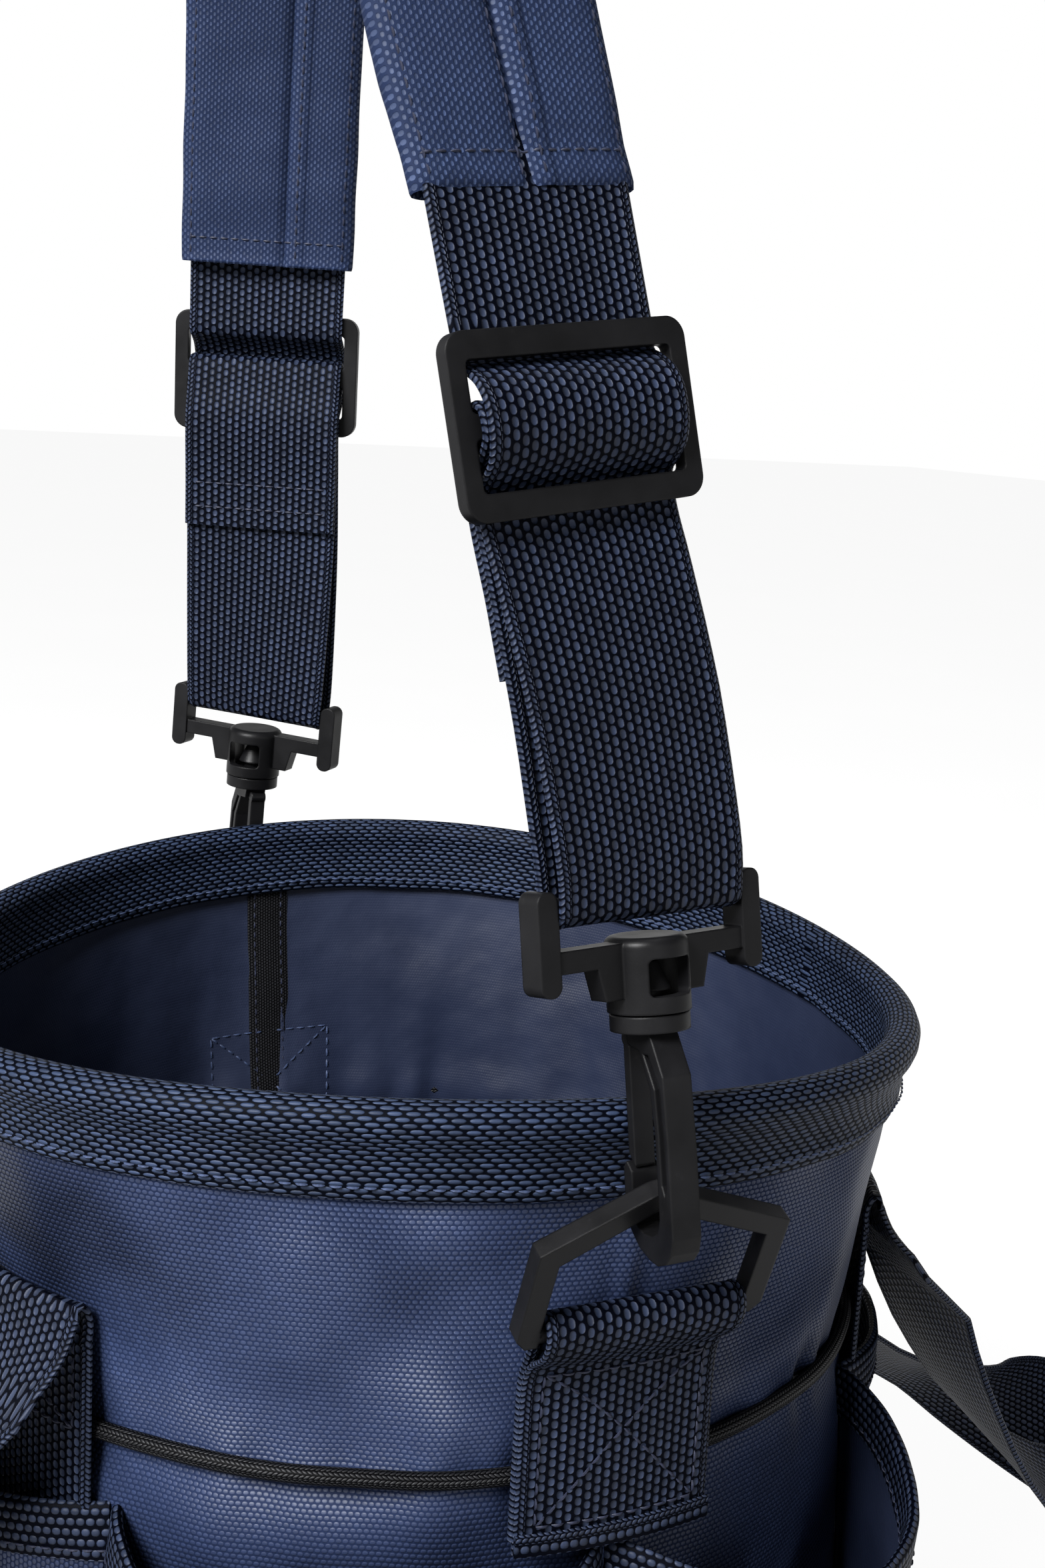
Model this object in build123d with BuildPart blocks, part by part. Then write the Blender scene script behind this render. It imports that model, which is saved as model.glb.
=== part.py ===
"""Round open-topped carry bag with a hooped rim, six outer pockets, two drooping carry handles
and a padded shoulder strap that is clipped to two D-rings by swivel snap hooks.

Frame: millimetres, +Z up, the bag stands on z = 0, D-rings on -Y (front) and +Y (rear),
carry handles on -X (left) and +X (right).
"""

from build123d import *
import math
import os

os.makedirs("parts", exist_ok=True)

# ---- driving dimensions -------------------------------------------------------------------
rim_top = 290.0  # height of the hooped rim
rim_radius = 135.0  # centre of the hoop
hoop_wire = 3.0  # radius of the hoop's rod
tape = 1.5  # thickness of the folded rim webbing
band_height = 22.0  # how far the rim webbing comes down
wall = 2.0  # coated fabric and its seam allowance
base_radius = 126.0
webbing = 50.0  # width of all webbing
webbing_t = 1.6
cord_height = rim_top - 90.0
cord_radius = 2.1
strip_radius = 129.3  # inner radius of the webbing sewn to the wall, clear of the cord
pocket_top = rim_top - 116.0
pocket_inner = 133.5  # plan radius where the pocket walls start
pocket_wall = 1.8
binding_height = 9.0
ring_bar = 5.2
ring_thickness = 4.5
ring_half = 30.8
hook_width = 6.8
yoke_half = 30.4
yoke_bar_height = 63.5  # top bar of the yoke above the ring's bar, along the hook
pad_width = 55.0
pad_thickness = 10.0
handle_y = 52.0  # middle of each handle leg
handle_pivot = (130.6, rim_top - 57.0)

# outer radius of the bag wall at a few heights, cinched by the cord
WALL = [(126, 2.2), (130, 40), (131, 100), (127.5, 175), (124, 200), (129, 235), (133.7, 266), (134.3, 281)]


def finish_piece(builder, label):
    """Name the piece and write its file."""
    builder.part.label = label
    export_step(builder.part, f"parts/{label}.step")


# ---- bag ----------------------------------------------------------------------------------
def wall_profile(outside, inside, low, high):
    """Closed outline between two curves parallel to the wall, from height low to height high."""
    points = [(r, z) for r, z in WALL if low <= z <= high]
    with BuildSketch(Plane.XZ) as profile:
        with BuildLine():
            outer = [(r + outside, z) for r, z in points]
            inner = [(r + inside, z) for r, z in points]
            Polyline(*outer, *reversed(inner), close=True)
        make_face()
    return profile.sketch


def wall_piece(label, outside, inside, low, high, start, sweep):
    """Part of a turned wall between two angles."""
    with BuildPart() as piece:
        add(wall_profile(outside, inside, low, high))
        revolve(axis=Axis.Z, revolution_arc=sweep)
    piece.part = piece.part.rotate(Axis.Z, start)
    finish_piece(piece, label)


wall_piece("left_body_panel", 0, -wall, 0, rim_top, 90.1, 179.8)
wall_piece("right_body_panel", 0, -wall, 0, rim_top, -89.9, 179.8)
wall_piece("front_seam_tape", -wall - 0.1, -wall - 1.1, 30, 270, -93.2, 6.4)
wall_piece("rear_seam_tape", -wall - 0.1, -wall - 1.1, 30, 270, 86.8, 6.4)

with BuildPart() as base_panel:
    with BuildSketch():
        Circle(base_radius)
    extrude(amount=2)
finish_piece(base_panel, "base_panel")

with BuildPart() as base_board:
    with BuildSketch(Plane.XY.offset(2.2)):
        Circle(base_radius - wall - 3)
    extrude(amount=3)
finish_piece(base_board, "base_board")

with BuildPart() as base_binding:
    with BuildSketch(Plane.XZ):
        with Locations((base_radius + 1.5, 4.2)):
            Rectangle(1.6, 8.4)
    revolve(axis=Axis.Z)
finish_piece(base_binding, "base_binding")

# ---- rim ----------------------------------------------------------------------------------
hoop_z = rim_top - tape - hoop_wire - 0.2
with BuildPart() as rim_hoop:
    with BuildSketch(Plane.XZ):
        with Locations((rim_radius, hoop_z)):
            Circle(hoop_wire)
    revolve(axis=Axis.Z)
finish_piece(rim_hoop, "rim_hoop")

roll = hoop_wire + 0.2  # inside of the webbing's fold round the hoop
far = roll + tape
leg_low = rim_top - band_height
with BuildPart() as rim_tape:
    with BuildSketch(Plane.XZ):
        with BuildLine():
            left, right, top = rim_radius - far, rim_radius + far, hoop_z + far
            outside = ThreePointArc((left, hoop_z), (rim_radius, top), (right, hoop_z))
            near, away = rim_radius - roll, rim_radius + roll
            inside = ThreePointArc((near, hoop_z), (rim_radius, hoop_z + roll), (away, hoop_z))
            inner_foot = rim_radius - 6.0
            outer_foot = rim_radius + 0.6
            Polyline(outside @ 0, (inner_foot, leg_low), (inner_foot + tape, leg_low), inside @ 0)
            Polyline(outside @ 1, (outer_foot, leg_low), (outer_foot - tape, leg_low), inside @ 1)
        make_face()
    revolve(axis=Axis.Z)
finish_piece(rim_tape, "rim_tape")

with BuildPart() as elastic_cord:
    with BuildSketch(Plane.XZ):
        with Locations((124 + cord_radius + 0.3, cord_height)):
            Circle(cord_radius)
    revolve(axis=Axis.Z)
finish_piece(elastic_cord, "elastic_cord")


# ---- pockets ------------------------------------------------------------------------------
def crescent(z, start, end, bulge, inset):
    """Plan of a pocket's filled shape between two seams, drawn inside by inset."""
    middle = (start + end) / 2
    slip = math.degrees(inset * 3.2 / pocket_inner)
    with BuildSketch(Plane.XY.offset(z)) as plan:
        with BuildLine():
            angles = [math.radians(t) for t in (start + slip, middle, end - slip)]
            p = [(pocket_inner * math.cos(t), pocket_inner * math.sin(t)) for t in angles]
            top = pocket_inner + bulge - inset
            q = (top * math.cos(angles[1]), top * math.sin(angles[1]))
            ThreePointArc(p[0], p[1], p[2])
            ThreePointArc(p[0], q, p[2])
        make_face()
    return plan.sketch


def pocket(label, start, end, bulge):
    """Outer pocket: a bulging wall with a floor, open at the top, and the webbing on its mouth."""
    with BuildPart() as shell:
        add(crescent(10, start, end, bulge * 0.4, 0))
        add(crescent(pocket_top, start, end, bulge, 0))
        loft(ruled=True)
        with BuildPart(mode=Mode.SUBTRACT):
            add(crescent(13, start, end, bulge * 0.41, pocket_wall))
            add(crescent(pocket_top + 1, start, end, bulge, pocket_wall))
            loft(ruled=True)
    finish_piece(shell, label)
    with BuildPart() as binding:
        add(crescent(pocket_top + 0.2, start, end, bulge + 0.8, 0))
        extrude(amount=binding_height)
        with BuildPart(mode=Mode.SUBTRACT):
            add(crescent(pocket_top - 1, start, end, bulge + 0.8, 2.6))
            extrude(amount=binding_height + 3)
    finish_piece(binding, label + "_binding")


side_half = 36.0  # half the angle between the two seams of a side pocket
POCKETS = (
    ("right_pocket", -side_half, side_half, 15.0),
    ("left_pocket", 180 - side_half, 180 + side_half, 15.0),
    ("front_right_pocket", -89, -side_half - 2, 27.0),
    ("front_left_pocket", -180 + side_half + 2, -91, 27.0),
    ("rear_right_pocket", side_half + 2, 89, 27.0),
    ("rear_left_pocket", 91, 180 - side_half - 2, 27.0),
)
for name, start, end, bulge in POCKETS:
    pocket(name, start, end, bulge)


# ---- D-rings, tabs, hooks and yokes -------------------------------------------------------
class Clip:
    """Where one end of the strap is clipped: its ring, the axis of its hook, its yoke's bars."""

    def __init__(self, side, drop, ring_x, apex_x, lean, bars):
        self.side = side
        self.drop = drop
        self.foot = Vector(ring_x, side * 137.6, rim_top - 46 - drop)
        self.apex = Vector(apex_x, side * 150.4, rim_top - 11.5 - drop)
        self.base = Vector(apex_x, side * 150.9, rim_top - 11.5 - drop)
        self.up = Vector(*lean).normalized()
        rise = self.apex - self.foot
        self.ring_up = Vector(0, rise.Y, rise.Z).normalized()
        self.ring_height = self.ring_up.dot(rise)
        across = Vector(-side, 0, 0)
        self.across = (across - self.up * self.up.dot(across)).normalized()
        bars = Vector(*bars)
        self.bar = (bars - self.up * self.up.dot(bars)).normalized()
        self.outward = self.bar.cross(self.up)
        if self.outward.Y * side < 0:
            self.bar = self.bar * -1
            self.outward = self.outward * -1

    def at(self, height):
        """Point on the hook's axis at this height above the ring's bar."""
        return self.base + self.up * height

    def profile(self, offset=0.0):
        """Plane of the hook's side view: x towards the bag, y up the hook."""
        inward = self.up.cross(self.across)
        sign = 1 if inward.Y * self.side < 0 else -1
        return Plane(self.base + self.across * offset, x_dir=inward * sign, z_dir=self.across * sign)

    def level(self, height):
        """Plane across the hook's axis, x along the yoke's bars."""
        return Plane(self.at(height), x_dir=self.bar, z_dir=self.up)

    def face(self, offset=0.0):
        """Plane of the yoke's front view: x along its bars, y up the hook."""
        return Plane(self.base + self.outward * offset, x_dir=self.bar, z_dir=self.outward)

    def ring(self, offset=0.0):
        """Plane of the ring: x along its foot bar, y towards its apex."""
        normal = Vector(1, 0, 0).cross(self.ring_up)
        return Plane(self.foot + normal * offset, x_dir=(1, 0, 0), z_dir=normal)

    def ring_section(self):
        """Plane across the ring's foot bar."""
        return Plane(self.foot, x_dir=self.ring_up, z_dir=(1, 0, 0))


front = Clip(-1, 0.0, -0.8, -5.5, (-0.03, 0.2, 1.0), (0.975, 0.2, 0.0))
rear = Clip(1, 9.0, -0.5, -2.0, (0.03, -0.05, 1.0), (0.70, -0.71, 0.0))


def ring_tab(label, clip):
    """Webbing sewn to the wall over the cord and rolled round the D-ring's foot bar."""
    low = rim_top - 104 - clip.drop / 3
    high = rim_top - 56 - clip.drop
    start = 90 * clip.side - 11.1
    s = clip.side
    fy, fz = clip.foot.Y, clip.foot.Z
    with BuildPart() as tab:
        with BuildSketch(Plane.XZ):
            with Locations((strip_radius + webbing_t, (low + high) / 2)):
                Rectangle(2 * webbing_t, high - low)
        revolve(axis=Axis.Z, revolution_arc=22.2)
        tab.part = tab.part.rotate(Axis.Z, start)
        with BuildSketch(Plane.YZ):
            with BuildLine():
                web = [(s * 129.6, high - 5), (s * 133.4, high - 5), (fy + s * 3.4, fz - 3.2)]
                web += [(fy - s * 3.4, fz + 3.2), (s * 130.4, high + 2)]
                Polyline(*web, close=True)
            make_face()
        extrude(amount=24.4, both=True)
        with BuildSketch(clip.ring_section()):
            Circle(4.6)
        extrude(amount=24.4, both=True)
        with BuildSketch(clip.ring_section()):
            Circle(2.8)
        extrude(amount=40, both=True, mode=Mode.SUBTRACT)
    finish_piece(tab, label)


def d_ring(label, clip):
    """Five-sided ring: round foot bar, two legs, two sloping top bars that meet in a soft apex."""
    lean = clip.apex.X - clip.foot.X
    peak = clip.ring_height + ring_bar / 2 + 0.6
    inner = ring_half - ring_bar
    sill = 22.0
    with BuildPart() as ring:
        with BuildSketch(clip.ring(-ring_thickness / 2)) as outline:
            with BuildLine():
                points = [(-28.4, -2.3), (28.4, -2.3), (ring_half, 0.4), (ring_half, sill + 3.6)]
                points += [(lean, peak), (-ring_half, sill + 3.6), (-ring_half, 0.4)]
                Polyline(*points, close=True)
            make_face()
            fillet(outline.vertices().sort_by(Axis.Y)[-1], 7)
            with BuildLine():
                hole = [(-inner, 2.3), (inner, 2.3), (inner, sill), (lean, peak - ring_bar * 1.07)]
                hole += [(-inner, sill)]
                Polyline(*hole, close=True)
            make_face(mode=Mode.SUBTRACT)
        extrude(amount=ring_thickness)
        with BuildSketch(clip.ring_section()):
            Rectangle(9, 9)
        extrude(amount=25.2, both=True, mode=Mode.SUBTRACT)
        with BuildSketch(clip.ring_section()):
            Circle(2.3)
        extrude(amount=27, both=True)
    finish_piece(ring, label)


def hook(label, clip):
    """Swivel snap hook: crook, side recesses, collar and a headed stem inside the yoke's barrel."""
    with BuildPart() as body:
        with BuildSketch(clip.profile(-hook_width / 2)):
            with BuildLine():
                outer = [(-5.2, 35.9), (-10.2, 27), (-11.0, 12), (-11.0, -6.8), (-9.8, -10.3), (-7.4, -12.6)]
                outer += [(-4, -13.6), (-0.4, -13.0), (3.8, -11.2), (7.0, -8.2), (8.6, -4.6), (8.9, -0.6)]
                outer += [(8.9, 5.2), (7.5, 6.6), (5.5, 4.6), (5.5, -4.4), (4.5, -6.5), (1.8, -7.8)]
                outer += [(-2, -7.8), (-4.6, -6.5), (-5.8, -3.6)]
                outer += [(-5.8, 14), (-4.6, 24), (-0.5, 31.5), (4.0, 32.2), (5.2, 35.9)]
                Polyline(*outer, close=True)
            make_face()
        extrude(amount=hook_width)
        for offset in (-hook_width / 2 - 0.1, hook_width / 2 - 1.5):
            with BuildSketch(clip.profile(offset)):
                with BuildLine():
                    recess = [(-4.4, 31), (-8.9, 24), (-9.7, 12), (-9.6, 4), (-8.5, 1.8), (-7.4, 4)]
                    recess += [(-7.2, 14), (-6.4, 24), (-2.2, 31)]
                    Polyline(*recess, close=True)
                make_face()
            extrude(amount=1.6, mode=Mode.SUBTRACT)
        with BuildSketch(clip.level(35.8)):
            Circle(8.6)
        extrude(amount=3.6)
        with BuildSketch(clip.level(39)):
            Circle(3.0)
        extrude(amount=6.2)
        with BuildSketch(clip.level(44.2)):
            Circle(5.0)
        with BuildSketch(clip.level(50.2)):
            Circle(2.2)
        loft(ruled=True)
    finish_piece(body, label)


def gate(label, clip):
    """Sprung blade that closes the crook on the bag's side."""
    with BuildPart() as blade:
        with BuildSketch(clip.profile(-2.4)):
            with BuildLine():
                points = [(5.5, 31.6), (8.0, 31.6), (8.0, 8.2), (7.1, 7.2), (5.5, 5.5)]
                Polyline(*points, close=True)
            make_face()
        extrude(amount=4.8)
        with BuildSketch(clip.profile(-2.4)):
            with Locations((7.0, 33.0)):
                Circle(1.7)
        extrude(amount=4.8)
    finish_piece(blade, label)


def yoke(label, clip):
    """Swivel yoke: barrel with a window, crossbar, two deep arms and the bar that holds the webbing."""
    with BuildPart() as frame:
        with BuildSketch(clip.level(39.8)):
            Circle(9)
        extrude(amount=16)
        fillet(frame.edges().sort_by(lambda edge: clip.up.dot(edge.center()))[-1], 2.0)
        with BuildSketch(clip.face(-2.6)):
            with BuildLine():
                points = [(-28, 54.9), (28, 54.9), (28, 50.2), (15.2, 50.2), (13.4, 43.2), (7, 43.2)]
                points += [(-7, 43.2), (-13.4, 43.2), (-15.2, 50.2), (-28, 50.2)]
                Polyline(*points, close=True)
            make_face()
        extrude(amount=5.2)
        for x in (-yoke_half + 2.6, yoke_half - 2.6):
            with BuildSketch(clip.face(-3.2)):
                with Locations((x, 56.6)):
                    RectangleRounded(5.2, 21.6, 2.4)
            extrude(amount=6.4)
        with BuildSketch(Plane(clip.at(yoke_bar_height), x_dir=clip.up, z_dir=clip.bar)):
            Circle(2.2)
        extrude(amount=27, both=True)
        with BuildSketch(clip.level(41.8)):
            Circle(6.4)
        extrude(amount=11, mode=Mode.SUBTRACT)
        with BuildSketch(clip.level(39)):
            Circle(3.5)
        extrude(amount=4, mode=Mode.SUBTRACT)
        with BuildSketch(clip.face(-12)):
            with Locations((0, 47.4)):
                RectangleRounded(11.0, 8.0, 1.2)
        extrude(amount=24, mode=Mode.SUBTRACT)
    finish_piece(frame, label)


for side_name, clip in (("front", front), ("rear", rear)):
    ring_tab(f"{side_name}_ring_tab", clip)
    d_ring(f"{side_name}_d_ring", clip)
    hook(f"{side_name}_hook", clip)
    gate(f"{side_name}_hook_gate", clip)
    yoke(f"{side_name}_yoke", clip)


# ---- strap --------------------------------------------------------------------------------
def smooth(points, steps):
    """Catmull-Rom curve through the points, each a tuple of numbers."""
    out = []
    last = len(points) - 1
    for i in range(last):
        a, b = points[max(i - 1, 0)], points[i]
        c, d = points[i + 1], points[min(i + 2, last)]
        for k in range(steps):
            t = k / steps
            row = []
            for p, q, r, s in zip(a, b, c, d):
                linear = (r - p) * t
                square = (2 * p - 5 * q + 4 * r - s) * t * t
                cube = (3 * q - p - 3 * r + s) * t * t * t
                row.append(q + 0.5 * (linear + square + cube))
            out.append(tuple(row))
    out.append(points[-1])
    return out


def sections(route):
    """Planes along a route of (x, y, z, width x, width y, width z)."""
    planes = []
    last = len(route) - 1
    for i, row in enumerate(route):
        here = Vector(*row[:3])
        ahead = Vector(*route[min(i + 1, last)][:3])
        behind = Vector(*route[max(i - 1, 0)][:3])
        along = (ahead - behind).normalized()
        width = Vector(*row[3:])
        width = (width - along * along.dot(width)).normalized()
        planes.append(Plane(here, x_dir=width, z_dir=along))
    return planes


def strip(route, width, thickness, shift=0.0):
    """Solid strip that follows a route, shifted along its face by shift."""
    with BuildPart() as piece:
        for plane in sections(route):
            with BuildSketch(plane):
                with Locations((0, shift)):
                    Rectangle(width, thickness)
        loft(ruled=True)
    return piece


# middle of the strap, from the front slider over the arch to the rear slider
ARCH = [
    (-22.0, -122.0, 439.0, 0.99, 0.14, 0.0),
    (-26.0, -103.0, 485.0, 0.99, 0.08, 0.0),
    (-32.0, -88.0, 524.0, 0.99, 0.0, 0.0),
    (-36.5, -73.0, 568.0, 0.99, -0.08, 0.0),
    (-38.0, -54.0, 628.0, 0.99, -0.14, 0.0),
    (-35.0, -22.0, 683.0, 0.99, -0.16, 0.0),
    (-28.0, 25.0, 714.0, 0.99, -0.17, 0.0),
    (-19.0, 76.0, 693.0, 0.98, -0.19, 0.0),
    (-11.5, 112.0, 640.0, 0.97, -0.24, 0.0),
    (-7.0, 128.0, 580.0, 0.95, -0.31, 0.0),
    (-4.5, 136.5, 530.0, 0.92, -0.38, 0.0),
    (-3.5, 140.0, 478.0, 0.89, -0.45, 0.0),
    (-2.0, 143.0, 444.0, 0.87, -0.50, 0.0),
]


class Loop:
    """Webbing between a yoke and its slider: s along the strap, o away from the bag."""

    def __init__(self, clip, end):
        self.foot = clip.at(yoke_bar_height)
        self.middle = Vector(*end[:3])
        self.length = (self.middle - self.foot).length
        self.along = (self.middle - self.foot).normalized()
        top = Vector(*end[3:])
        self.top = (top - self.along * self.along.dot(top)).normalized()
        self.low = clip.bar if clip.bar.dot(top) > 0 else clip.bar * -1
        reach = self.along - self.low * self.low.dot(self.along)
        self.start = reach.normalized()
        self.side = clip.side

    def out(self, width):
        """Direction away from the bag, across the strap's face."""
        normal = width.cross(self.along)
        return normal if normal.Y * self.side > 0 else normal * -1

    def row(self, s, o):
        """Route entry at s, o: the webbing leaves the yoke square to its bar."""
        share = min(max(s / self.length, 0), 1)
        bend = (self.start - self.along) * (s * (1 - share) * (1 - share))
        bent = (1 - share) ** 2
        width = (self.low * bent + self.top * (1 - bent)).normalized()
        along = (self.start * bent + self.along * (1 - bent)).normalized()
        normal = width.cross(along)
        normal = normal if normal.Y * self.side > 0 else normal * -1
        p = self.foot + self.along * s + bend + normal * o
        return (p.X, p.Y, p.Z, width.X, width.Y, width.Z)

    def rows(self):
        """From the sewn end on the slider's middle bar, round the yoke's bar, to above the slider."""
        n = self.length
        spots = [(n - 50, -6.3), (n - 36, -6.2), (n - 21, -6.9), (n - 12.5, -6.5), (n - 6, -4.7)]
        spots += [(n - 0.5, -3.5), (n + 3.2, -2.4), (n + 4.4, 0.1), (n + 3.2, 2.7), (n, 3.4)]
        spots += [(n - 3, 2.8), (n - 7, -0.6), (n - 12, -4.5), (n - 21, -4.9), (n - 34, -4.3)]
        spots += [(n - 60, -4.1), (12, -3.9), (0, -3.4), (-2.4, -2.4), (-3.4, 0), (-2.4, 2.4), (0, 3.4)]
        spots += [(12, 3.8), (n - 60, 2.0), (n - 34, -0.9), (n - 21, -2.8), (n - 13.4, -2.8)]
        spots += [(n - 10.4, 0.2), (n - 7.4, 3.8), (n - 3.6, 5.5), (n, 5.9), (n + 4.4, 5.4)]
        spots += [(n + 8.4, 3.2), (n + 11, -0.2), (n + 13, -2.9), (n + 19, -2.9)]
        return [self.row(s, o) for s, o in spots]


def slider_plane(loop, offset=0.0):
    """Plane of the slider's face: x across the strap, y up the strap."""
    out = loop.out(loop.top)
    x_dir = loop.along.cross(out)
    return Plane(loop.middle + out * offset, x_dir=x_dir, z_dir=out)


def slider(label, loop):
    """Three-bar adjuster."""
    with BuildPart() as buckle:
        with BuildSketch(slider_plane(loop, -1.75)):
            RectangleRounded(60, 38, 4.5)
            with Locations((0, 7.9), (0, -7.9)):
                RectangleRounded(51.4, 10.8, 1.2, mode=Mode.SUBTRACT)
        extrude(amount=3.5)
    finish_piece(buckle, label)


front_loop = Loop(front, ARCH[0])
rear_loop = Loop(rear, ARCH[-1])
slider("front_slider", front_loop)
slider("rear_slider", rear_loop)

front_rows = smooth(front_loop.rows(), 2)
rear_rows = smooth(rear_loop.rows(), 2)
rear_rows.reverse()
pad_route = smooth(ARCH[1:-1], 4)
strap_webbing = strip(front_rows + pad_route[1:-1] + rear_rows, webbing, webbing_t)
finish_piece(strap_webbing, "strap_webbing")

pad_core = strip(pad_route[2:-2], pad_width - 8, 4.0, 3.1)
finish_piece(pad_core, "pad_core")

with BuildPart() as pad_sleeve:
    for plane in sections(pad_route):
        with BuildSketch(plane):
            with Locations((0, 2.0)):
                RectangleRounded(pad_width, pad_thickness, 3.5)
    loft(ruled=True)
    with BuildPart(mode=Mode.SUBTRACT):
        for plane in sections(pad_route):
            with BuildSketch(plane):
                with Locations((0, 2.0)):
                    RectangleRounded(pad_width - 3.0, pad_thickness - 2.4, 1.2)
        loft(ruled=True)
finish_piece(pad_sleeve, "pad_sleeve")


# ---- carry handles ------------------------------------------------------------------------
def handle_route(side):
    """Route of the drooping loop: flat on its legs, turned on edge at its outer end."""
    x0, z0 = handle_pivot
    leg = [(x0 + 1.2, z0 - 5), (x0 + 5.4, z0 - 16), (140.5, z0 - 32), (156, z0 - 66), (179, z0 - 100)]
    leg += [(213, z0 - 129), (245, z0 - 144)]
    size = math.hypot(leg[-1][0] - leg[-2][0], leg[-1][1] - leg[-2][1])
    droop = ((leg[-1][0] - leg[-2][0]) / size, (leg[-1][1] - leg[-2][1]) / size)
    points = [(side * x, -handle_y, z) for x, z in leg]
    for i in range(1, 12):
        t = math.pi * i / 12
        ahead = 56.0 * math.sin(t)
        x, z = leg[-1][0] + droop[0] * ahead, leg[-1][1] + droop[1] * ahead
        points.append((side * x, -handle_y * math.cos(t), z))
    points += [(side * x, handle_y, z) for x, z in reversed(leg)]
    points = smooth(points, 2)
    last = len(points) - 1
    rows = []
    for i, p in enumerate(points):
        along = Vector(*points[min(i + 1, last)]) - Vector(*points[max(i - 1, 0)])
        along = along.normalized()
        share = 1 - abs(2 * i / last - 1)
        share = min(max((share - 0.2) / 0.72, 0), 1)
        twist = math.radians(90) * share * share * (3 - 2 * share)
        plane_up = Vector(-side * droop[1], 0, droop[0])
        if share == 0:
            across = Vector(0, 1 if i < last / 2 else -1, 0)
        else:
            across = plane_up.cross(along) * side
            across = (across - along * along.dot(across)).normalized()
        lift = across.cross(along)
        lift = lift if lift.dot(plane_up) > 0 else lift * -1
        width = across * math.cos(twist) + lift * math.sin(twist)
        rows.append((p[0], p[1], p[2], width.X, width.Y, width.Z))
    return rows


def handle(label, side):
    """Drooping webbing loop, folded over at the top of each sewn leg."""
    x0, z0 = handle_pivot
    with BuildPart() as loop:
        for plane in sections(handle_route(side)):
            with BuildSketch(plane):
                Rectangle(webbing, webbing_t)
        loft(ruled=True)
        for y in (-handle_y, handle_y):
            with BuildSketch(Plane.XZ.offset(-y)):
                with Locations((side * x0, z0)):
                    Circle(1.6)
            extrude(amount=webbing / 2, both=True)
            with BuildSketch(Plane.XZ.offset(-y)):
                with BuildLine():
                    link = [(x0 + 0.2, z0 - 1.5), (x0 + 1.6, z0), (x0 + 2.4, z0 - 5.6), (x0 + 0.6, z0 - 5.6)]
                    Polyline(*[(side * px, pz) for px, pz in link], close=True)
                make_face()
            extrude(amount=webbing / 2, both=True)
    finish_piece(loop, label)


def handle_anchor(label, middle):
    """Webbing sewn flat up the wall under a pocket, over the cord, to the handle's fold."""
    with BuildPart() as strap:
        with BuildSketch(Plane.XZ):
            with Locations((strip_radius + webbing_t / 2, rim_top - 96)):
                Rectangle(webbing_t, 76)
        revolve(axis=Axis.Z, revolution_arc=22)
    strap.part = strap.part.rotate(Axis.Z, middle - 11)
    finish_piece(strap, label)


handle("right_handle", 1)
handle("left_handle", -1)
leg_angle = math.degrees(math.asin(handle_y / (strip_radius + webbing_t)))
handle_anchor("right_front_anchor", -leg_angle)
handle_anchor("right_rear_anchor", leg_angle)
handle_anchor("left_front_anchor", 180 + leg_angle)
handle_anchor("left_rear_anchor", 180 - leg_angle)
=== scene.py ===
"""Round carry bag: cloth, webbing, padding, stitching, plastics, light and camera."""
import bpy
import math
from mathutils import Vector, Matrix, noise


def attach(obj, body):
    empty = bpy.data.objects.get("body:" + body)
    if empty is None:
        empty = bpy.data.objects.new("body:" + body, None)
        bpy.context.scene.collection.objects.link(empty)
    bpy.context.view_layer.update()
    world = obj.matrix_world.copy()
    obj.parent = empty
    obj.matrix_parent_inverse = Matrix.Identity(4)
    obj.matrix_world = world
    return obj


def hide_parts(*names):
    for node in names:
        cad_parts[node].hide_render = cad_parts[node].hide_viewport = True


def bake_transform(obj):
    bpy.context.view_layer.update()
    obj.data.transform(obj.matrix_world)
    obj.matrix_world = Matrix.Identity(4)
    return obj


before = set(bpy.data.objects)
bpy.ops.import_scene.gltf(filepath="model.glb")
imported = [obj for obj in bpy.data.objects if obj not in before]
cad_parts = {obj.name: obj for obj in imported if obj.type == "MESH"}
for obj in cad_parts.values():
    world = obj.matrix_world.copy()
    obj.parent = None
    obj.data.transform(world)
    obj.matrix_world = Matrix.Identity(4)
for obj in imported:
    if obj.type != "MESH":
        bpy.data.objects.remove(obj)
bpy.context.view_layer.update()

MM = 0.001
H = 290.0  # rim height; every length below is in millimetres until a mesh is made
SADDLE = 5.6  # how far the sprung hoop is out of flat
SADDLE_TURN = math.radians(19.3)
CORD_Z = 200.0
CORD_RADIUS = 126.4
GIRTH = 130.0  # radius at which distances round the bag are counted
CURVE = 262.0  # twice the wall's radius: a point this far across a sewn band lies a * a / CURVE lower
WEB = 50.0  # width of the webbing
YOKE_BAR = 63.5  # from a ring's apex to the bar of its yoke, along the hook


# ---- numbers ------------------------------------------------------------------------------
def clamp(x, low=0.0, high=1.0):
    return max(low, min(high, x))


def ease(x):
    x = clamp(x)
    return x * x * (3 - 2 * x)


def rough(x, y, z, size, seed=0.0):
    """Smooth noise from -1 to 1 with features of this size."""
    return noise.noise(Vector((x / size + seed, y / size - seed * 0.7, z / size + seed * 1.3)))


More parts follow.
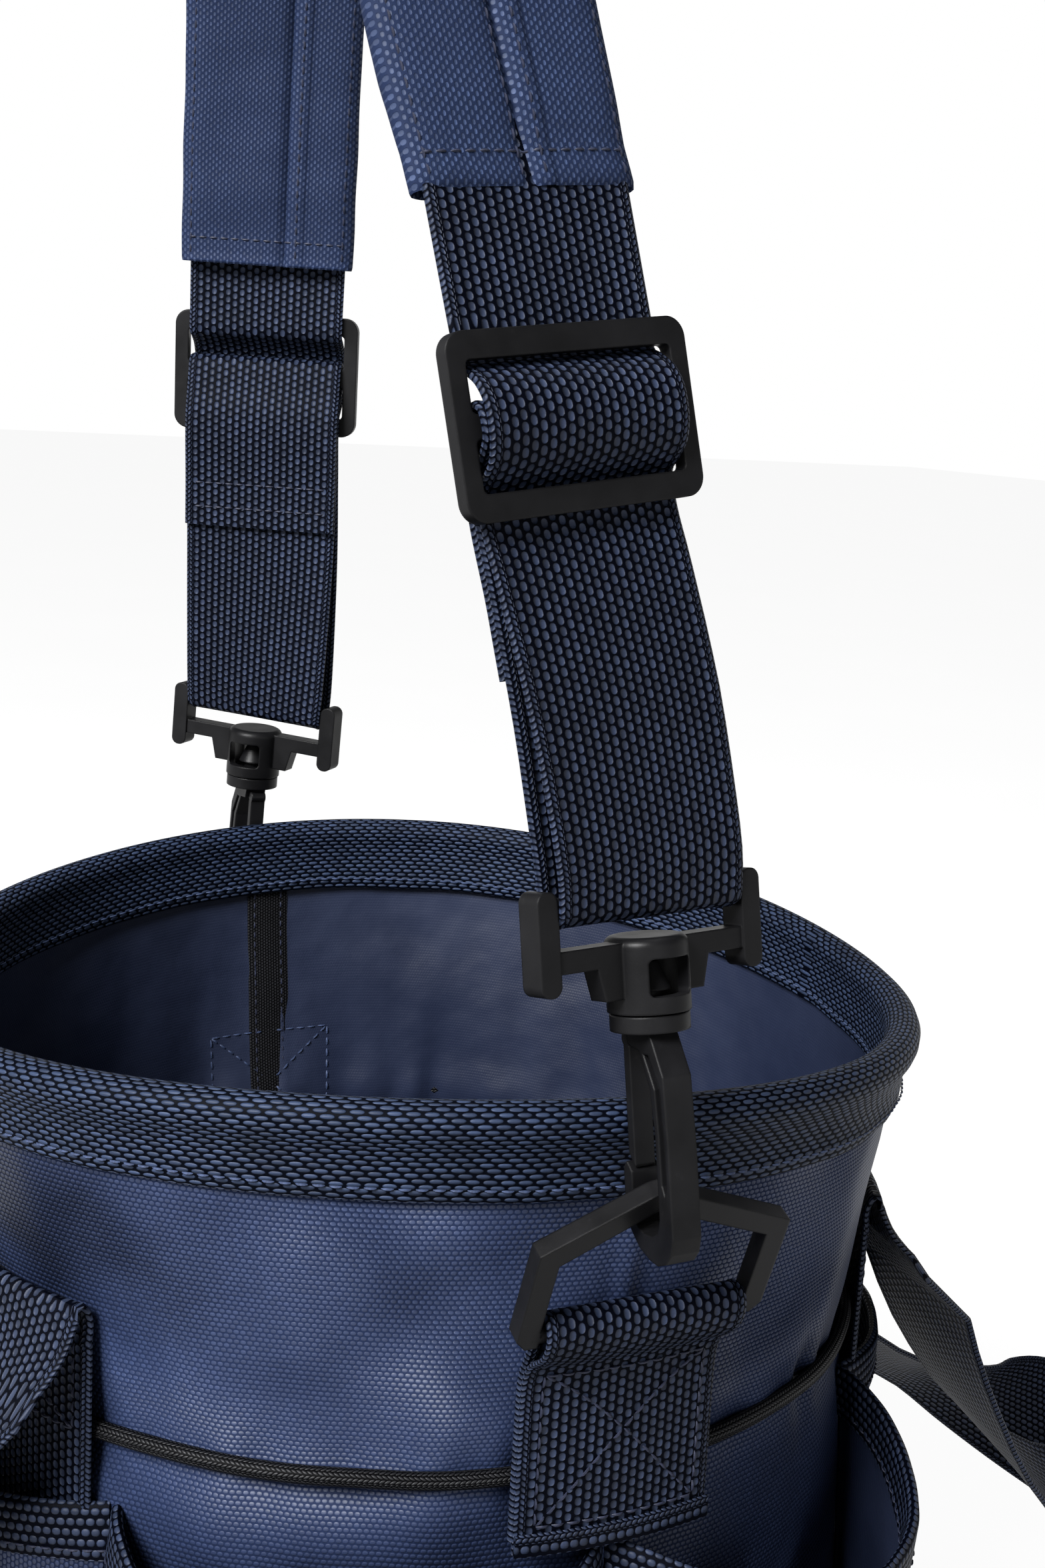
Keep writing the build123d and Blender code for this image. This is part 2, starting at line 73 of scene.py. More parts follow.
def table(points, x):
    """Smooth reading of y at x from (x, y) pairs."""
    if x <= points[0][0]:
        return points[0][1]
    for i in range(len(points) - 1):
        (x0, y0), (x1, y1) = points[i], points[i + 1]
        if x <= x1:
            a = points[max(i - 1, 0)]
            b = points[min(i + 2, len(points) - 1)]
            m0 = (y1 - a[1]) / max(x1 - a[0], 1e-6)
            m1 = (b[1] - y0) / max(b[0] - x0, 1e-6)
            w = x1 - x0
            t = (x - x0) / w
            return ((2 * t ** 3 - 3 * t * t + 1) * y0 + (t ** 3 - 2 * t * t + t) * w * m0
                    + (3 * t * t - 2 * t ** 3) * y1 + (t ** 3 - t * t) * w * m1)
    return points[-1][1]


def warp(angle, z):
    """How far the sprung hoop lifts or drops the cloth here."""
    share = clamp((z - 120) / 160) * 0.5 + 0.5 * clamp((z - 200) / 85)
    return -SADDLE * math.cos(2 * (angle + SADDLE_TURN)) * share


def smooth(points, steps):
    """Catmull-Rom curve through tuples of numbers."""
    out = []
    last = len(points) - 1
    for i in range(last):
        a, b = points[max(i - 1, 0)], points[i]
        c, d = points[i + 1], points[min(i + 2, last)]
        for k in range(steps):
            t = k / steps
            row = []
            for p, q, r, s in zip(a, b, c, d):
                row.append(q + 0.5 * ((r - p) * t + (2 * p - 5 * q + 4 * r - s) * t * t
                                      + (3 * q - p - 3 * r + s) * t ** 3))
            out.append(tuple(row))
    out.append(points[-1])
    return out


# ---- shader nodes -------------------------------------------------------------------------
class Net:
    """Short way to write a material's nodes."""

    def __init__(self, name):
        self.mat = bpy.data.materials.new(name)
        self.mat.use_nodes = True
        self.tree = self.mat.node_tree
        self.tree.nodes.clear()
        self.out = self.tree.nodes.new("ShaderNodeOutputMaterial")
        self.shader = self.tree.nodes.new("ShaderNodeBsdfPrincipled")
        self.tree.links.new(self.shader.outputs[0], self.out.inputs[0])

    def put(self, socket, value):
        if isinstance(value, bpy.types.NodeSocket):
            self.tree.links.new(value, socket)
        elif value is not None:
            socket.default_value = value

    def node(self, kind, **settings):
        n = self.tree.nodes.new(kind)
        for key, value in settings.items():
            setattr(n, key, value)
        return n

    def math(self, op, a, b=None, c=None):
        n = self.node("ShaderNodeMath", operation=op)
        self.put(n.inputs[0], a)
        self.put(n.inputs[1], b)
        self.put(n.inputs[2], c)
        return n.outputs[0]

    def uv(self):
        n = self.node("ShaderNodeUVMap", uv_map="weave")
        s = self.node("ShaderNodeSeparateXYZ")
        self.put(s.inputs[0], n.outputs[0])
        return s.outputs[0], s.outputs[1]

    def spot(self):
        return self.node("ShaderNodeTexCoord").outputs["Object"]

    def vector(self, x, y, z=0.0):
        n = self.node("ShaderNodeCombineXYZ")
        for i, v in enumerate((x, y, z)):
            self.put(n.inputs[i], v)
        return n.outputs[0]

    def noise(self, where, scale, detail=2.0, rough=0.5):
        n = self.node("ShaderNodeTexNoise")
        self.put(n.inputs["Vector"], where)
        n.inputs["Scale"].default_value = scale
        n.inputs["Detail"].default_value = detail
        n.inputs["Roughness"].default_value = rough
        return n.outputs["Fac"]

    def remap(self, x, a, b, c=0.0, d=1.0, soft=False):
        n = self.node("ShaderNodeMapRange")
        if soft:
            n.interpolation_type = "SMOOTHSTEP"
        self.put(n.inputs["Value"], x)
        for key, v in zip(("From Min", "From Max", "To Min", "To Max"), (a, b, c, d)):
            self.put(n.inputs[key], v)
        return n.outputs[0]

    def mix(self, fac, a, b):
        n = self.node("ShaderNodeMix", data_type="RGBA")
        self.put(n.inputs[0], fac)
        self.put(n.inputs[6], a)
        self.put(n.inputs[7], b)
        return n.outputs[2]

    def bump(self, height, depth, strength=1.0, under=None):
        n = self.node("ShaderNodeBump")
        n.inputs["Strength"].default_value = strength
        n.inputs["Distance"].default_value = depth
        self.put(n.inputs["Height"], height)
        self.put(n.inputs["Normal"], under)
        return n.outputs[0]

    def set(self, **values):
        for key, value in values.items():
            self.put(self.shader.inputs[key.replace("_", " ")], value)


def floats(net, u, v, pitch_u, pitch_v, half_u, half_v, slant=0.0, twill=0.0):
    """Rows of raised yarn floats: mask, height and a number for each float."""
    cu = net.math("DIVIDE", u, pitch_u)
    ci = net.math("FLOOR", cu)
    fu = net.math("SUBTRACT", net.math("SUBTRACT", cu, ci), 0.5)
    odd = net.math("FLOORED_MODULO", ci, 2.0)
    shift = net.math("MULTIPLY", ci, twill) if twill else net.math("MULTIPLY", odd, 0.5)
    rv = net.math("ADD", net.math("DIVIDE", v, pitch_v), shift)
    if slant:
        turn = net.math("SUBTRACT", net.math("MULTIPLY", odd, 2.0 * slant), slant)
        rv = net.math("ADD", rv, net.math("MULTIPLY", fu, turn))
    ri = net.math("FLOOR", rv)
    fv = net.math("SUBTRACT", net.math("SUBTRACT", rv, ri), 0.5)
    a = net.math("POWER", net.math("DIVIDE", fu, half_u), 2.0)
    b = net.math("POWER", net.math("ABSOLUTE", net.math("DIVIDE", fv, half_v)), 2.6)
    d = net.math("ADD", a, b)
    high = net.math("SQRT", net.math("MAXIMUM", net.math("SUBTRACT", 1.0, d), 0.0))
    mask = net.remap(d, 1.1, 0.6, soft=True)
    cell = net.node("ShaderNodeTexWhiteNoise", noise_dimensions="2D")
    net.put(cell.inputs["Vector"], net.vector(ci, ri))
    return mask, high, cell.outputs["Value"]


def woven(name, light, dark, pitch=(2.27, 2.35), half=(0.36, 0.5), depth=0.5, edge=None,
          roughness=0.7, spread=0.35, slant=0.0, twill=0.0, crease=0.0, shine=0.16):
    """Woven cloth: light floats over dark gaps painted as the shade between yarns, with yarn fibres, uneven dye and
    soft creases that also carry painted shade.
    """
    net = Net(name)
    u, v = net.uv()
    mask, high, cell = floats(net, u, v, pitch[0] * MM, pitch[1] * MM, half[0], half[1], slant, twill)
    fibre = net.noise(net.vector(net.math("MULTIPLY", u, 9000.0), net.math("MULTIPLY", v, 1500.0)), 1.0, 2.0)
    if edge:
        border = net.remap(net.math("ABSOLUTE", u), (edge - 2.4) * MM, (edge - 2.2) * MM)
        m2, h2, _ = floats(net, u, v, 1.15 * MM, 1.5 * MM, 0.46, 0.42, 0.45)
        mask = net.math("ADD", net.math("MULTIPLY", mask, net.math("SUBTRACT", 1.0, border)),
                        net.math("MULTIPLY", m2, border))
        high = net.math("ADD", net.math("MULTIPLY", high, net.math("SUBTRACT", 1.0, border)),
                        net.math("MULTIPLY", h2, border))
    where = net.spot()
    dye = net.remap(net.noise(where, 28.0, 3.0), 0.3, 0.7, 0.86, 1.12)
    vary = net.remap(cell, 0.0, 1.0, 1.0 - spread, 1.0 + spread * 0.6)
    lum = net.math("MULTIPLY", net.math("MULTIPLY", dye, vary), net.remap(fibre, 0.25, 0.75, 0.84, 1.16))
    bright = net.node("ShaderNodeVectorMath", operation="SCALE")
    bright.inputs[0].default_value = light
    net.put(bright.inputs["Scale"], lum)
    # painted shade: the gaps between floats take the dark colour, standing in for the shadow between the yarns
    tone = net.mix(mask, (*dark, 1), bright.outputs[0])
    under = None
    if crease:
        fold = net.noise(where, 10.0, 1.5, 0.4)
        dent = net.noise(where, 30.0, 1.0, 0.3)
        under = net.bump(dent, crease * 0.1 * MM, 0.7, net.bump(fold, crease * MM, 0.9))
        # painted shade: where the crease noise rises the colour is mixed toward the dark colour, shading the folds
        tone = net.mix(net.remap(fold, 0.38, 0.62, 0.0, 0.45), tone, (*dark, 1))
    fine = net.bump(fibre, 0.05 * MM, 0.5, under)
    normal = net.bump(high, depth * MM, 0.9, fine)
    net.set(Base_Color=tone, Roughness=roughness, Normal=normal,
            Specular_IOR_Level=net.remap(mask, 0.0, 1.0, 0.02, shine))
    return net.mat


def coated(name):
    """Smooth shiny lining: coated cloth with a fine emboss and soft creases."""
    net = Net(name)
    u, v = net.uv()
    _, high, _ = floats(net, u, v, 0.9 * MM, 0.9 * MM, 0.46, 0.46)
    where = net.spot()
    cloud = net.noise(where, 14.0, 4.0, 0.55)
    fold = net.noise(where, 16.0, 3.0, 0.5)
    crease = net.noise(where, 55.0, 3.0, 0.5)
    tone = net.mix(net.remap(cloud, 0.3, 0.7), (0.0048, 0.0072, 0.0175, 1), (0.0105, 0.0145, 0.0310, 1))
    first = net.bump(crease, 1.6 * MM, 0.35, net.bump(fold, 9.0 * MM, 0.6))
    net.set(Base_Color=tone, Roughness=net.remap(cloud, 0.3, 0.7, 0.42, 0.56),
            Normal=net.bump(high, 0.05 * MM, 0.5, first), Specular_IOR_Level=0.15)
    return net.mat


def plastic(name, tone=(0.0022, 0.0022, 0.0025)):
    """Moulded black plastic: satin with a fine spark-eroded grain, paler rubbed corners, mould swirl."""
    net = Net(name)
    where = net.spot()
    grain = net.noise(where, 2600.0, 2.0, 0.6)
    flow = net.noise(where, 60.0, 3.0, 0.55)
    scuff = net.noise(where, 420.0, 5.0, 0.7)
    bevel = net.node("ShaderNodeBevel", samples=6)
    bevel.inputs["Radius"].default_value = 0.7 * MM
    worn = net.remap(scuff, 0.6, 0.82, 0.0, 0.35)
    tone = net.mix(net.remap(flow, 0.35, 0.7), (*tone, 1), tuple(c * 1.9 for c in tone) + (1,))
    tone = net.mix(worn, tone, (0.010, 0.010, 0.011, 1))
    net.set(Base_Color=tone, Roughness=net.remap(flow, 0.3, 0.7, 0.36, 0.5),
            Normal=net.bump(grain, 0.06 * MM, 0.35, bevel.outputs[0]), Specular_IOR_Level=0.1)
    return net.mat


def thread(name, light):
    """Sewing thread: twisted strands."""
    net = Net(name)
    where = net.spot()
    twist = net.noise(where, 1800.0, 2.0)
    tone = net.mix(net.remap(twist, 0.35, 0.65), tuple(c * 0.55 for c in light) + (1,), (*light, 1))
    net.set(Base_Color=tone, Roughness=0.6, Normal=net.bump(twist, 0.1 * MM, 0.6), Specular_IOR_Level=0.25)
    return net.mat


WEBBING = woven("webbing_navy", (0.0105, 0.0155, 0.0320), (0.0004, 0.0006, 0.0018), half=(0.38, 0.455),
                edge=25.0, depth=0.6, roughness=0.55)
RIMWEB = woven("rim_webbing_navy", (0.0135, 0.0215, 0.0450), (0.0004, 0.0007, 0.0020), (1.3, 3.7), (0.43, 0.42),
               depth=0.55, twill=0.42, roughness=0.55)
OXFORD = woven("oxford_navy", (0.0150, 0.0235, 0.0570), (0.0075, 0.0118, 0.0300), (1.2, 1.6), (0.42, 0.44),
               depth=0.14, roughness=0.5, spread=0.2, crease=120.0, shine=0.26)
PADCLOTH = woven("pad_cloth_navy", (0.0165, 0.0270, 0.0620), (0.0068, 0.0108, 0.0270), (1.06, 1.95),
                 (0.40, 0.34), depth=0.2, roughness=0.6, spread=0.3, crease=5.0)
BRAID = woven("cord_braid_black", (0.0060, 0.0062, 0.0072), (0.0004, 0.0004, 0.0006), (1.1, 1.2),
              (0.45, 0.45), depth=0.28, spread=0.3, slant=0.9, roughness=0.45)
BLACKTAPE = woven("tape_black", (0.0040, 0.0042, 0.0055), (0.0006, 0.0006, 0.0008), (0.9, 1.0),
                  (0.44, 0.45), depth=0.18, spread=0.3, roughness=0.7, shine=0.15)
LINING = coated("lining_grey_blue")
BLACK = plastic("plastic_black")
THREAD_BLUE = thread("thread_blue", (0.022, 0.034, 0.075))
THREAD_DARK = thread("thread_navy", (0.0085, 0.0110, 0.0260))


# ---- meshes -------------------------------------------------------------------------------
def build(name, verts, faces, uvs, mats, body, replaced=(), face_mats=None, sharp=50):
    """Object from points in millimetres; uvs hold one pair for each face corner, also in mm."""
    mesh = bpy.data.meshes.new(name)
    mesh.from_pydata([tuple(c * MM for c in p) for p in verts], [], faces)
    layer = mesh.uv_layers.new(name="weave")
    flat = [c * MM for face in uvs for pair in face for c in pair]
    layer.data.foreach_set("uv", flat)
    for m in mats:
        mesh.materials.append(m)
    if face_mats:
        mesh.polygons.foreach_set("material_index", face_mats)
    mesh.polygons.foreach_set("use_smooth", [True] * len(faces))
    mesh.update()
    mesh.set_sharp_from_angle(angle=math.radians(sharp))
    piece = bpy.data.objects.new(name, mesh)
    bpy.context.scene.collection.objects.link(piece)
    if body:
        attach(piece, body)
    if replaced:
        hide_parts(*replaced)
    return piece


def frames_of(rows):
    """Point, width direction, face direction and distance at each row (x, y, z, wx, wy, wz)."""
    out = []
    run = 0.0
    last = len(rows) - 1
    for i, row in enumerate(rows):
        p = Vector(row[:3])
        along = (Vector(rows[min(i + 1, last)][:3]) - Vector(rows[max(i - 1, 0)][:3])).normalized()
        w = Vector(row[3:])
        w = (w - along * along.dot(w)).normalized()
        if i:
            run += (p - Vector(rows[i - 1][:3])).length
        out.append((p, w, w.cross(along), run))
    return out


def sweep(name, frames, section, mats, body, replaced=(), closed=False, shape=None, sharp=50,
          mat_of=None):
    """Closed section of (a, b, u) carried along frames; shape may move a point (i, k, a, b)."""
    n, m = len(frames), len(section)
    verts = []
    for i, (p, a_dir, b_dir, run) in enumerate(frames):
        for k, (a, b, u) in enumerate(section):
            if shape:
                a, b = shape(i, k, a, b, run)
            verts.append(p + a_dir * a + b_dir * b)
    faces, uvs, slots = [], [], []
    total = frames[-1][3] + ((frames[0][0] - frames[-1][0]).length if closed else 0)
    for i in range(n if closed else n - 1):
        j = (i + 1) % n
        v0, v1 = frames[i][3], frames[j][3] if j else total
        for k in range(m):
            l = (k + 1) % m
            u0 = section[k][2]
            u1 = section[l][2]
            if abs(u1 - u0) > 12 and l == 0:
                u1 = u0 + 1.5
            faces.append((i * m + k, j * m + k, j * m + l, i * m + l))
            uvs.append(((u0, v0), (u0, v1), (u1, v1), (u1, v0)))
            slots.append(mat_of(k) if mat_of else 0)
    if not closed:
        for i, order in ((0, 1), (n - 1, -1)):
            ring = [i * m + k for k in range(m)][::order]
            faces.append(tuple(ring))
            uvs.append(tuple((section[k][2], frames[i][3] + section[k][1]) for k in range(m)[::order]))
            slots.append(0)
    return build(name, verts, faces, uvs, mats, body, replaced, slots, sharp)


def band(width, thick, bead=0.22):
    """Webbing band section with columns close together at its edges."""
    half = width / 2
    spots = [-half, -half + 0.5, -half + 1.4, -half + 2.4, -half * 0.66, -half * 0.33, 0.0]
    spots = spots + [-s for s in spots[-2::-1]]
    top, under = [], []
    for a in spots:
        d = half - abs(a)
        b = thick * 0.2 if d < 0.1 else thick * 0.42 if d < 0.7 else thick / 2 + (bead if d < 1.6 else 0)
        top.append((a, b, a))
        under.append((a, -b, a))
    return top + under[::-1]


def stitch_row(points, normals, length=2.5, gap=1.0, radius=0.34, sides=5):
    """Vertices and faces of a row of stitches that follow points over a cloth's face."""
    spans = [0.0]
    for a, b in zip(points, points[1:]):
        spans.append(spans[-1] + (b - a).length)
    verts, faces = [], []
    count = max(int(spans[-1] / (length + gap)), 1)
    step = spans[-1] / count
    seg = 0

    def at(s):
        nonlocal seg
        while seg < len(spans) - 2 and spans[seg + 1] < s:
            seg += 1
        t = (s - spans[seg]) / max(spans[seg + 1] - spans[seg], 1e-6)
        return points[seg].lerp(points[seg + 1], t), normals[seg].lerp(normals[seg + 1], t).normalized()

    for i in range(count):
        s0 = i * step + gap / 2
        base = len(verts)
        rings = ((0.0, 0.35, -0.7), (0.22, 0.9, 0.15), (0.5, 1.0, 0.35), (0.78, 0.9, 0.15), (1.0, 0.35, -0.7))
        for t, wide, lift in rings:
            p, nrm = at(s0 + t * (step - gap))
            ahead, _ = at(min(s0 + t * (step - gap) + 0.2, spans[-1]))
            along = (ahead - p).normalized() if (ahead - p).length > 1e-6 else Vector((0, 0, 1))
            side = along.cross(nrm).normalized()
            for k in range(sides):
                f = 2 * math.pi * k / sides
                off = side * (math.cos(f) * radius * wide) + nrm * (math.sin(f) * radius * wide * 0.8)
                verts.append(p + off + nrm * (lift * radius))
        for r in range(len(rings) - 1):
            for k in range(sides):
                a, b = base + r * sides + k, base + r * sides + (k + 1) % sides
                faces.append((a, b, b + sides, a + sides))
        faces.append(tuple(base + k for k in range(sides))[::-1])
        faces.append(tuple(base + (len(rings) - 1) * sides + k for k in range(sides)))
    return verts, faces


class Stitching:
    """All the stitches of one colour that ride on one body."""

    def __init__(self):
        self.verts, self.faces = [], []

    def row(self, points, normals, **kw):
        verts, faces = stitch_row(points, normals, **kw)
        base = len(self.verts)
        self.verts += verts
        self.faces += [tuple(i + base for i in f) for f in faces]

    def sew(self, name, mat, body):
        uvs = [tuple((0.0, 0.0) for _ in f) for f in self.faces]
        return build(name, self.verts, self.faces, uvs, [mat], body)


# ---- bag wall -----------------------------------------------------------------------------
WALL = [(0, 125.6), (12, 127.4), (40, 130), (100, 131), (150, 129.2), (175, 127.3), (188, 125.4), (200, 123.6),
        (212, 125.6), (235, 128.6), (266, 133.0), (283, 133.6)]


def wall_r(angle, z):
    """Outer radius of the cloth wall: gathered by the cord, seamed front and rear, gently uneven."""
    r = table(WALL, z)
    x, y = math.cos(angle) * GIRTH, math.sin(angle) * GIRTH
    near = math.exp(-((z - CORD_Z) / 9.0) ** 2)
    wide = math.exp(-((z - CORD_Z) / 30.0) ** 2)
    drift = 2.5 * rough(x, y, 0, 30, 4.0)
    ruck = math.sin(52 * angle + drift) * 0.6 + math.sin(31 * angle + 2.0 * drift) * 0.5
    pleat = math.sin(19 * angle + 1.4 * drift) * 0.9 + rough(x, y, z * 0.3, 15, 9.0)
    wave = rough(x, y, z * 0.6, 55, 2.0) * 1.5 * ease((275 - z) / 60) * ease(z / 40)
    small = rough(x, y, z, 16, 6.0) * 0.35 * ease((270 - z) / 30)
    seam = 0.0
    for middle in (math.pi / 2, -math.pi / 2):
        off = abs((angle - middle + math.pi) % (2 * math.pi) - math.pi) * GIRTH
        seam += 0.7 * math.exp(-(off / 2.2) ** 2) - 0.5 * math.exp(-((off - 4.0) / 2.0) ** 2)
    r += near * ruck * 0.75 + wide * pleat * 0.8 + wave + small + seam * ease((275 - z) / 20)
    if 150 < z < 238:
        r = min(r, 128.9)
    return r


def round_frames(count, radius=GIRTH):
    """Frames round the bag's axis: a outward, b up."""
    out = []
    for i in range(count):
        t = 2 * math.pi * i / count
        out.append((Vector((0, 0, 0)), Vector((math.cos(t), math.sin(t), 0)), Vector((0, 0, 1)), t * radius))
    return out


BODY_COLUMNS = 360
wall_z = [0.6, 3, 7, 12, 20, 30, 42, 55, 68, 82, 96, 110, 122, 133, 143, 152, 160, 167, 173, 178, 183, 187, 190]
wall_z += [193, 195.5, 198, 200, 202, 204.5, 207, 210, 213, 217, 222, 228, 234, 241, 249, 257, 265, 273, 281]
section = [(0, z, z) for z in wall_z] + [(1, z, z) for z in wall_z[::-1]]
body_frames = round_frames(BODY_COLUMNS)


def wall_shape(i, k, a, b, run):
    t = run / GIRTH
    r = wall_r(t, b)
    return (r - (1.2 if a else 0.0), b + warp(t, b))


sweep("body_shell", body_frames, section, [OXFORD, LINING], "bag",
      ("left_body_panel", "right_body_panel"), closed=True, shape=wall_shape,
      mat_of=lambda k: 1 if k >= len(wall_z) - 1 else 0)


def disc(name, radius, low, high, mats, replaced, sag=0.0):
    """Flat round of cloth, its weave running straight across."""
    rings, spokes = 22, 120
    verts, faces, uvs = [], [], []
    for face, z in ((0, high), (1, low)):
        for r in range(rings + 1):
            rad = radius * (r / rings) if r else 0.01
            edge = 0.5 * (r == rings)
            for s in range(spokes):
                t = 2 * math.pi * s / spokes
                x, y = rad * math.cos(t), rad * math.sin(t)
                lift = sag * rough(x, y, 0, 60, 1.0) * (1 - (r / rings) ** 4) if face == 0 else 0.0
                verts.append((x, y, z + lift + (edge if face else -edge)))
    for face in (0, 1):
        base = face * (rings + 1) * spokes
        for r in range(rings):
            for s in range(spokes):
                q = (s + 1) % spokes
                a, b = base + r * spokes + s, base + r * spokes + q
                c, d = b + spokes, a + spokes
                order = (a, d, c, b) if face == 0 else (a, b, c, d)
                faces.append(order)
                uvs.append(tuple((verts[i][0], verts[i][1]) for i in order))
    top, under = rings * spokes, (rings + 1) * spokes + rings * spokes
    for s in range(spokes):
        q = (s + 1) % spokes
        order = (top + s, under + s, under + q, top + q)
        faces.append(order)
        uvs.append(tuple((verts[i][0], verts[i][1]) for i in order))
    return build(name, verts, faces, uvs, mats, "bag", replaced)


disc("base_cloth", 126.0, 0.0, 1.9, [OXFORD], ("base_panel",))
disc("base_lining", 121.0, 2.2, 6.0, [LINING], ("base_board",), 0.9)
binding_section = [(125.9, 0.2, 0), (127.4, 0.4, 1.6), (128.3, 1.4, 3), (128.4, 4.4, 6), (128.3, 7.4, 9),
                   (127.8, 8.3, 10), (126.7, 8.3, 11), (126.3, 4.0, 15)]
sweep("base_edge_binding", round_frames(180), binding_section, [BLACKTAPE], "bag", ("base_binding",),
      closed=True)

# ---- rim ----------------------------------------------------------------------------------
HOOP_R, HOOP_Z = 135.0, 285.3
outer_path = [(135.0, 267.6), (135.5, 268.6), (135.7, 272.0), (136.1, 276.0), (137.2, 279.4), (138.9, 282.2)]
for step in range(9):
    t = math.radians(-16 + step * 26.5)
    outer_path.append((HOOP_R + 4.75 * math.cos(t), HOOP_Z + 4.75 * math.sin(t)))
outer_path += [(130.9, 280.6), (130.2, 276.5), (129.6, 272.0), (129.2, 268.6), (129.6, 267.8)]
under_path = [(130.7, 268.6), (131.3, 274.0), (131.9, 280.0), (132.3, 285.0), (133.2, 287.4), (135.0, 288.4)]
under_path += [(136.8, 287.4), (137.6, 284.6), (136.4, 280.4), (134.6, 275.0), (134.1, 268.8)]
rim_section = []
u = 0.0
for i, (r, z) in enumerate(outer_path):
    if i:
        u += math.dist(outer_path[i - 1], (r, z))
    rim_section.append((r, z, u - 25.0))
rim_section += [(r, z, 20.0) for r, z in under_path]
RIM_COLUMNS = 300


def rim_shape(i, k, a, b, run):
    t = run / GIRTH
    x, y = math.cos(t) * HOOP_R, math.sin(t) * HOOP_R
    low = ease((282 - b) / 12)
    a += 0.45 * rough(x, y, b * 0.4, 18, 3.0) * low + 0.25 * rough(x, y, b, 7, 5.0) * low
    a += 0.3 * rough(x, y, 0, 42, 8.0)
    return a, b + warp(t, b) + 0.35 * rough(x, y, 5, 25, 7.0) * low


rim_frames = round_frames(RIM_COLUMNS)
sweep("rim_band", rim_frames, rim_section, [RIMWEB], "bag", ("rim_tape",), closed=True, shape=rim_shape)
hoop_section = [(HOOP_R + 3 * math.cos(math.radians(t)), HOOP_Z + 3 * math.sin(math.radians(t)), t / 20)
                for t in range(0, 360, 30)]
sweep("rim_rod", round_frames(180), hoop_section, [BLACK], "bag", ("rim_hoop",), closed=True,
      shape=lambda i, k, a, b, run: (a, b + warp(run / GIRTH, b)))

# ---- waist cord ---------------------------------------------------------------------------
cord_section = []
for k in range(12):
    t = 2 * math.pi * k / 12
    cord_section.append((2.15 * math.cos(t), 2.15 * math.sin(t), t * 2.15))


def cord_shape(i, k, a, b, run):
    t = run / CORD_RADIUS
    x, y = math.cos(t) * 126, math.sin(t) * 126
    return (a + 126.2 + 0.25 * rough(x, y, 0, 22, 1.5),
            b + CORD_Z + warp(t, CORD_Z) + 0.9 * rough(x, y, 9, 34, 2.5))


sweep("waist_cord", round_frames(360, CORD_RADIUS), cord_section, [BRAID], "bag", ("elastic_cord",),
      closed=True, shape=cord_shape, sharp=80)

# ---- seam tapes inside --------------------------------------------------------------------
bag_blue = Stitching()
bag_dark = Stitching()
for label, middle in (("front", -math.pi / 2), ("rear", math.pi / 2)):
    rows = []
    for step in range(61):
        z = 12 + step * (268 - 12) / 60
        r = wall_r(middle, z) - 1.95
        out = Vector((math.cos(middle), math.sin(middle), 0))
        p = out * r + Vector((0, 0, z + warp(middle, z)))
        rows.append((*p, -out.y, out.x, 0))
    frames = frames_of(rows)
    tape_section = [(a, b, a) for a, b in ((-7, 0), (-5.5, 0.45), (-2, 0.55), (2, 0.55), (5.5, 0.45), (7, 0),
                                           (5.5, -0.4), (0, -0.5), (-5.5, -0.4))]
    sweep(f"{label}_seam_binding", frames, tape_section, [BLACKTAPE], "bag",
          (f"{label}_seam_tape",), shape=lambda i, k, a, b, run: (a, b - a * a / CURVE))
    for side in (-4.6, 4.6):
        pts, nrm = [], []
        for p, w, n, run in frames:
            inward = Vector((-math.cos(middle), -math.sin(middle), 0))
            pts.append(p + w * side + inward * 0.62 + inward * (-side * side / CURVE))
            nrm.append(inward)
        bag_dark.row(pts, nrm, length=2.4, gap=0.9, radius=0.3)

# the ring tabs' sewn rectangles and crosses come through to the lining
for middle, low, high in ((-math.pi / 2, 192, 228), (math.pi / 2, 189, 222)):
    def inner(across, z):
        t = middle + across / 127.0
        r = wall_r(t, z) - 1.35
        out = Vector((math.cos(t), math.sin(t), 0))
        return out * r + Vector((0, 0, z + warp(t, z))), -out

    ends = [(-21, low), (21, low), (21, high), (-21, high)]
    for corner_a, corner_b in ((0, 1), (1, 2), (2, 3), (3, 0), (0, 2), (1, 3)):
        (xa, za), (xb, zb) = ends[corner_a], ends[corner_b]
        spots = [inner(xa + (xb - xa) * k / 24, za + (zb - za) * k / 24) for k in range(25)]
        bag_blue.row([p for p, n in spots], [n for p, n in spots], length=2.6, gap=0.9, radius=0.34)

# stitching along the rim band, outside and inside
for radius, height, sign in ((135.9, 270.6, 1), (129.3, 270.9, -1)):
    pts, nrm = [], []
    for i in range(721):
        t = 2 * math.pi * i / 720
        a, b = rim_shape(0, 0, radius, height, t * GIRTH)
        out = Vector((math.cos(t), math.sin(t), 0))
        pts.append(out * (a + sign * 0.25) + Vector((0, 0, b)))
        nrm.append(out * sign)
    bag_blue.row(pts, nrm, length=2.7, gap=1.0, radius=0.36)


# ---- sewn webbing on the wall -------------------------------------------------------------
def curl(curve):
    """Shape that bends a band round the bag's axis by a share for each row."""
    return lambda i, k, a, b, run: (a, b - a * a / CURVE * curve[min(i, len(curve) - 1)])


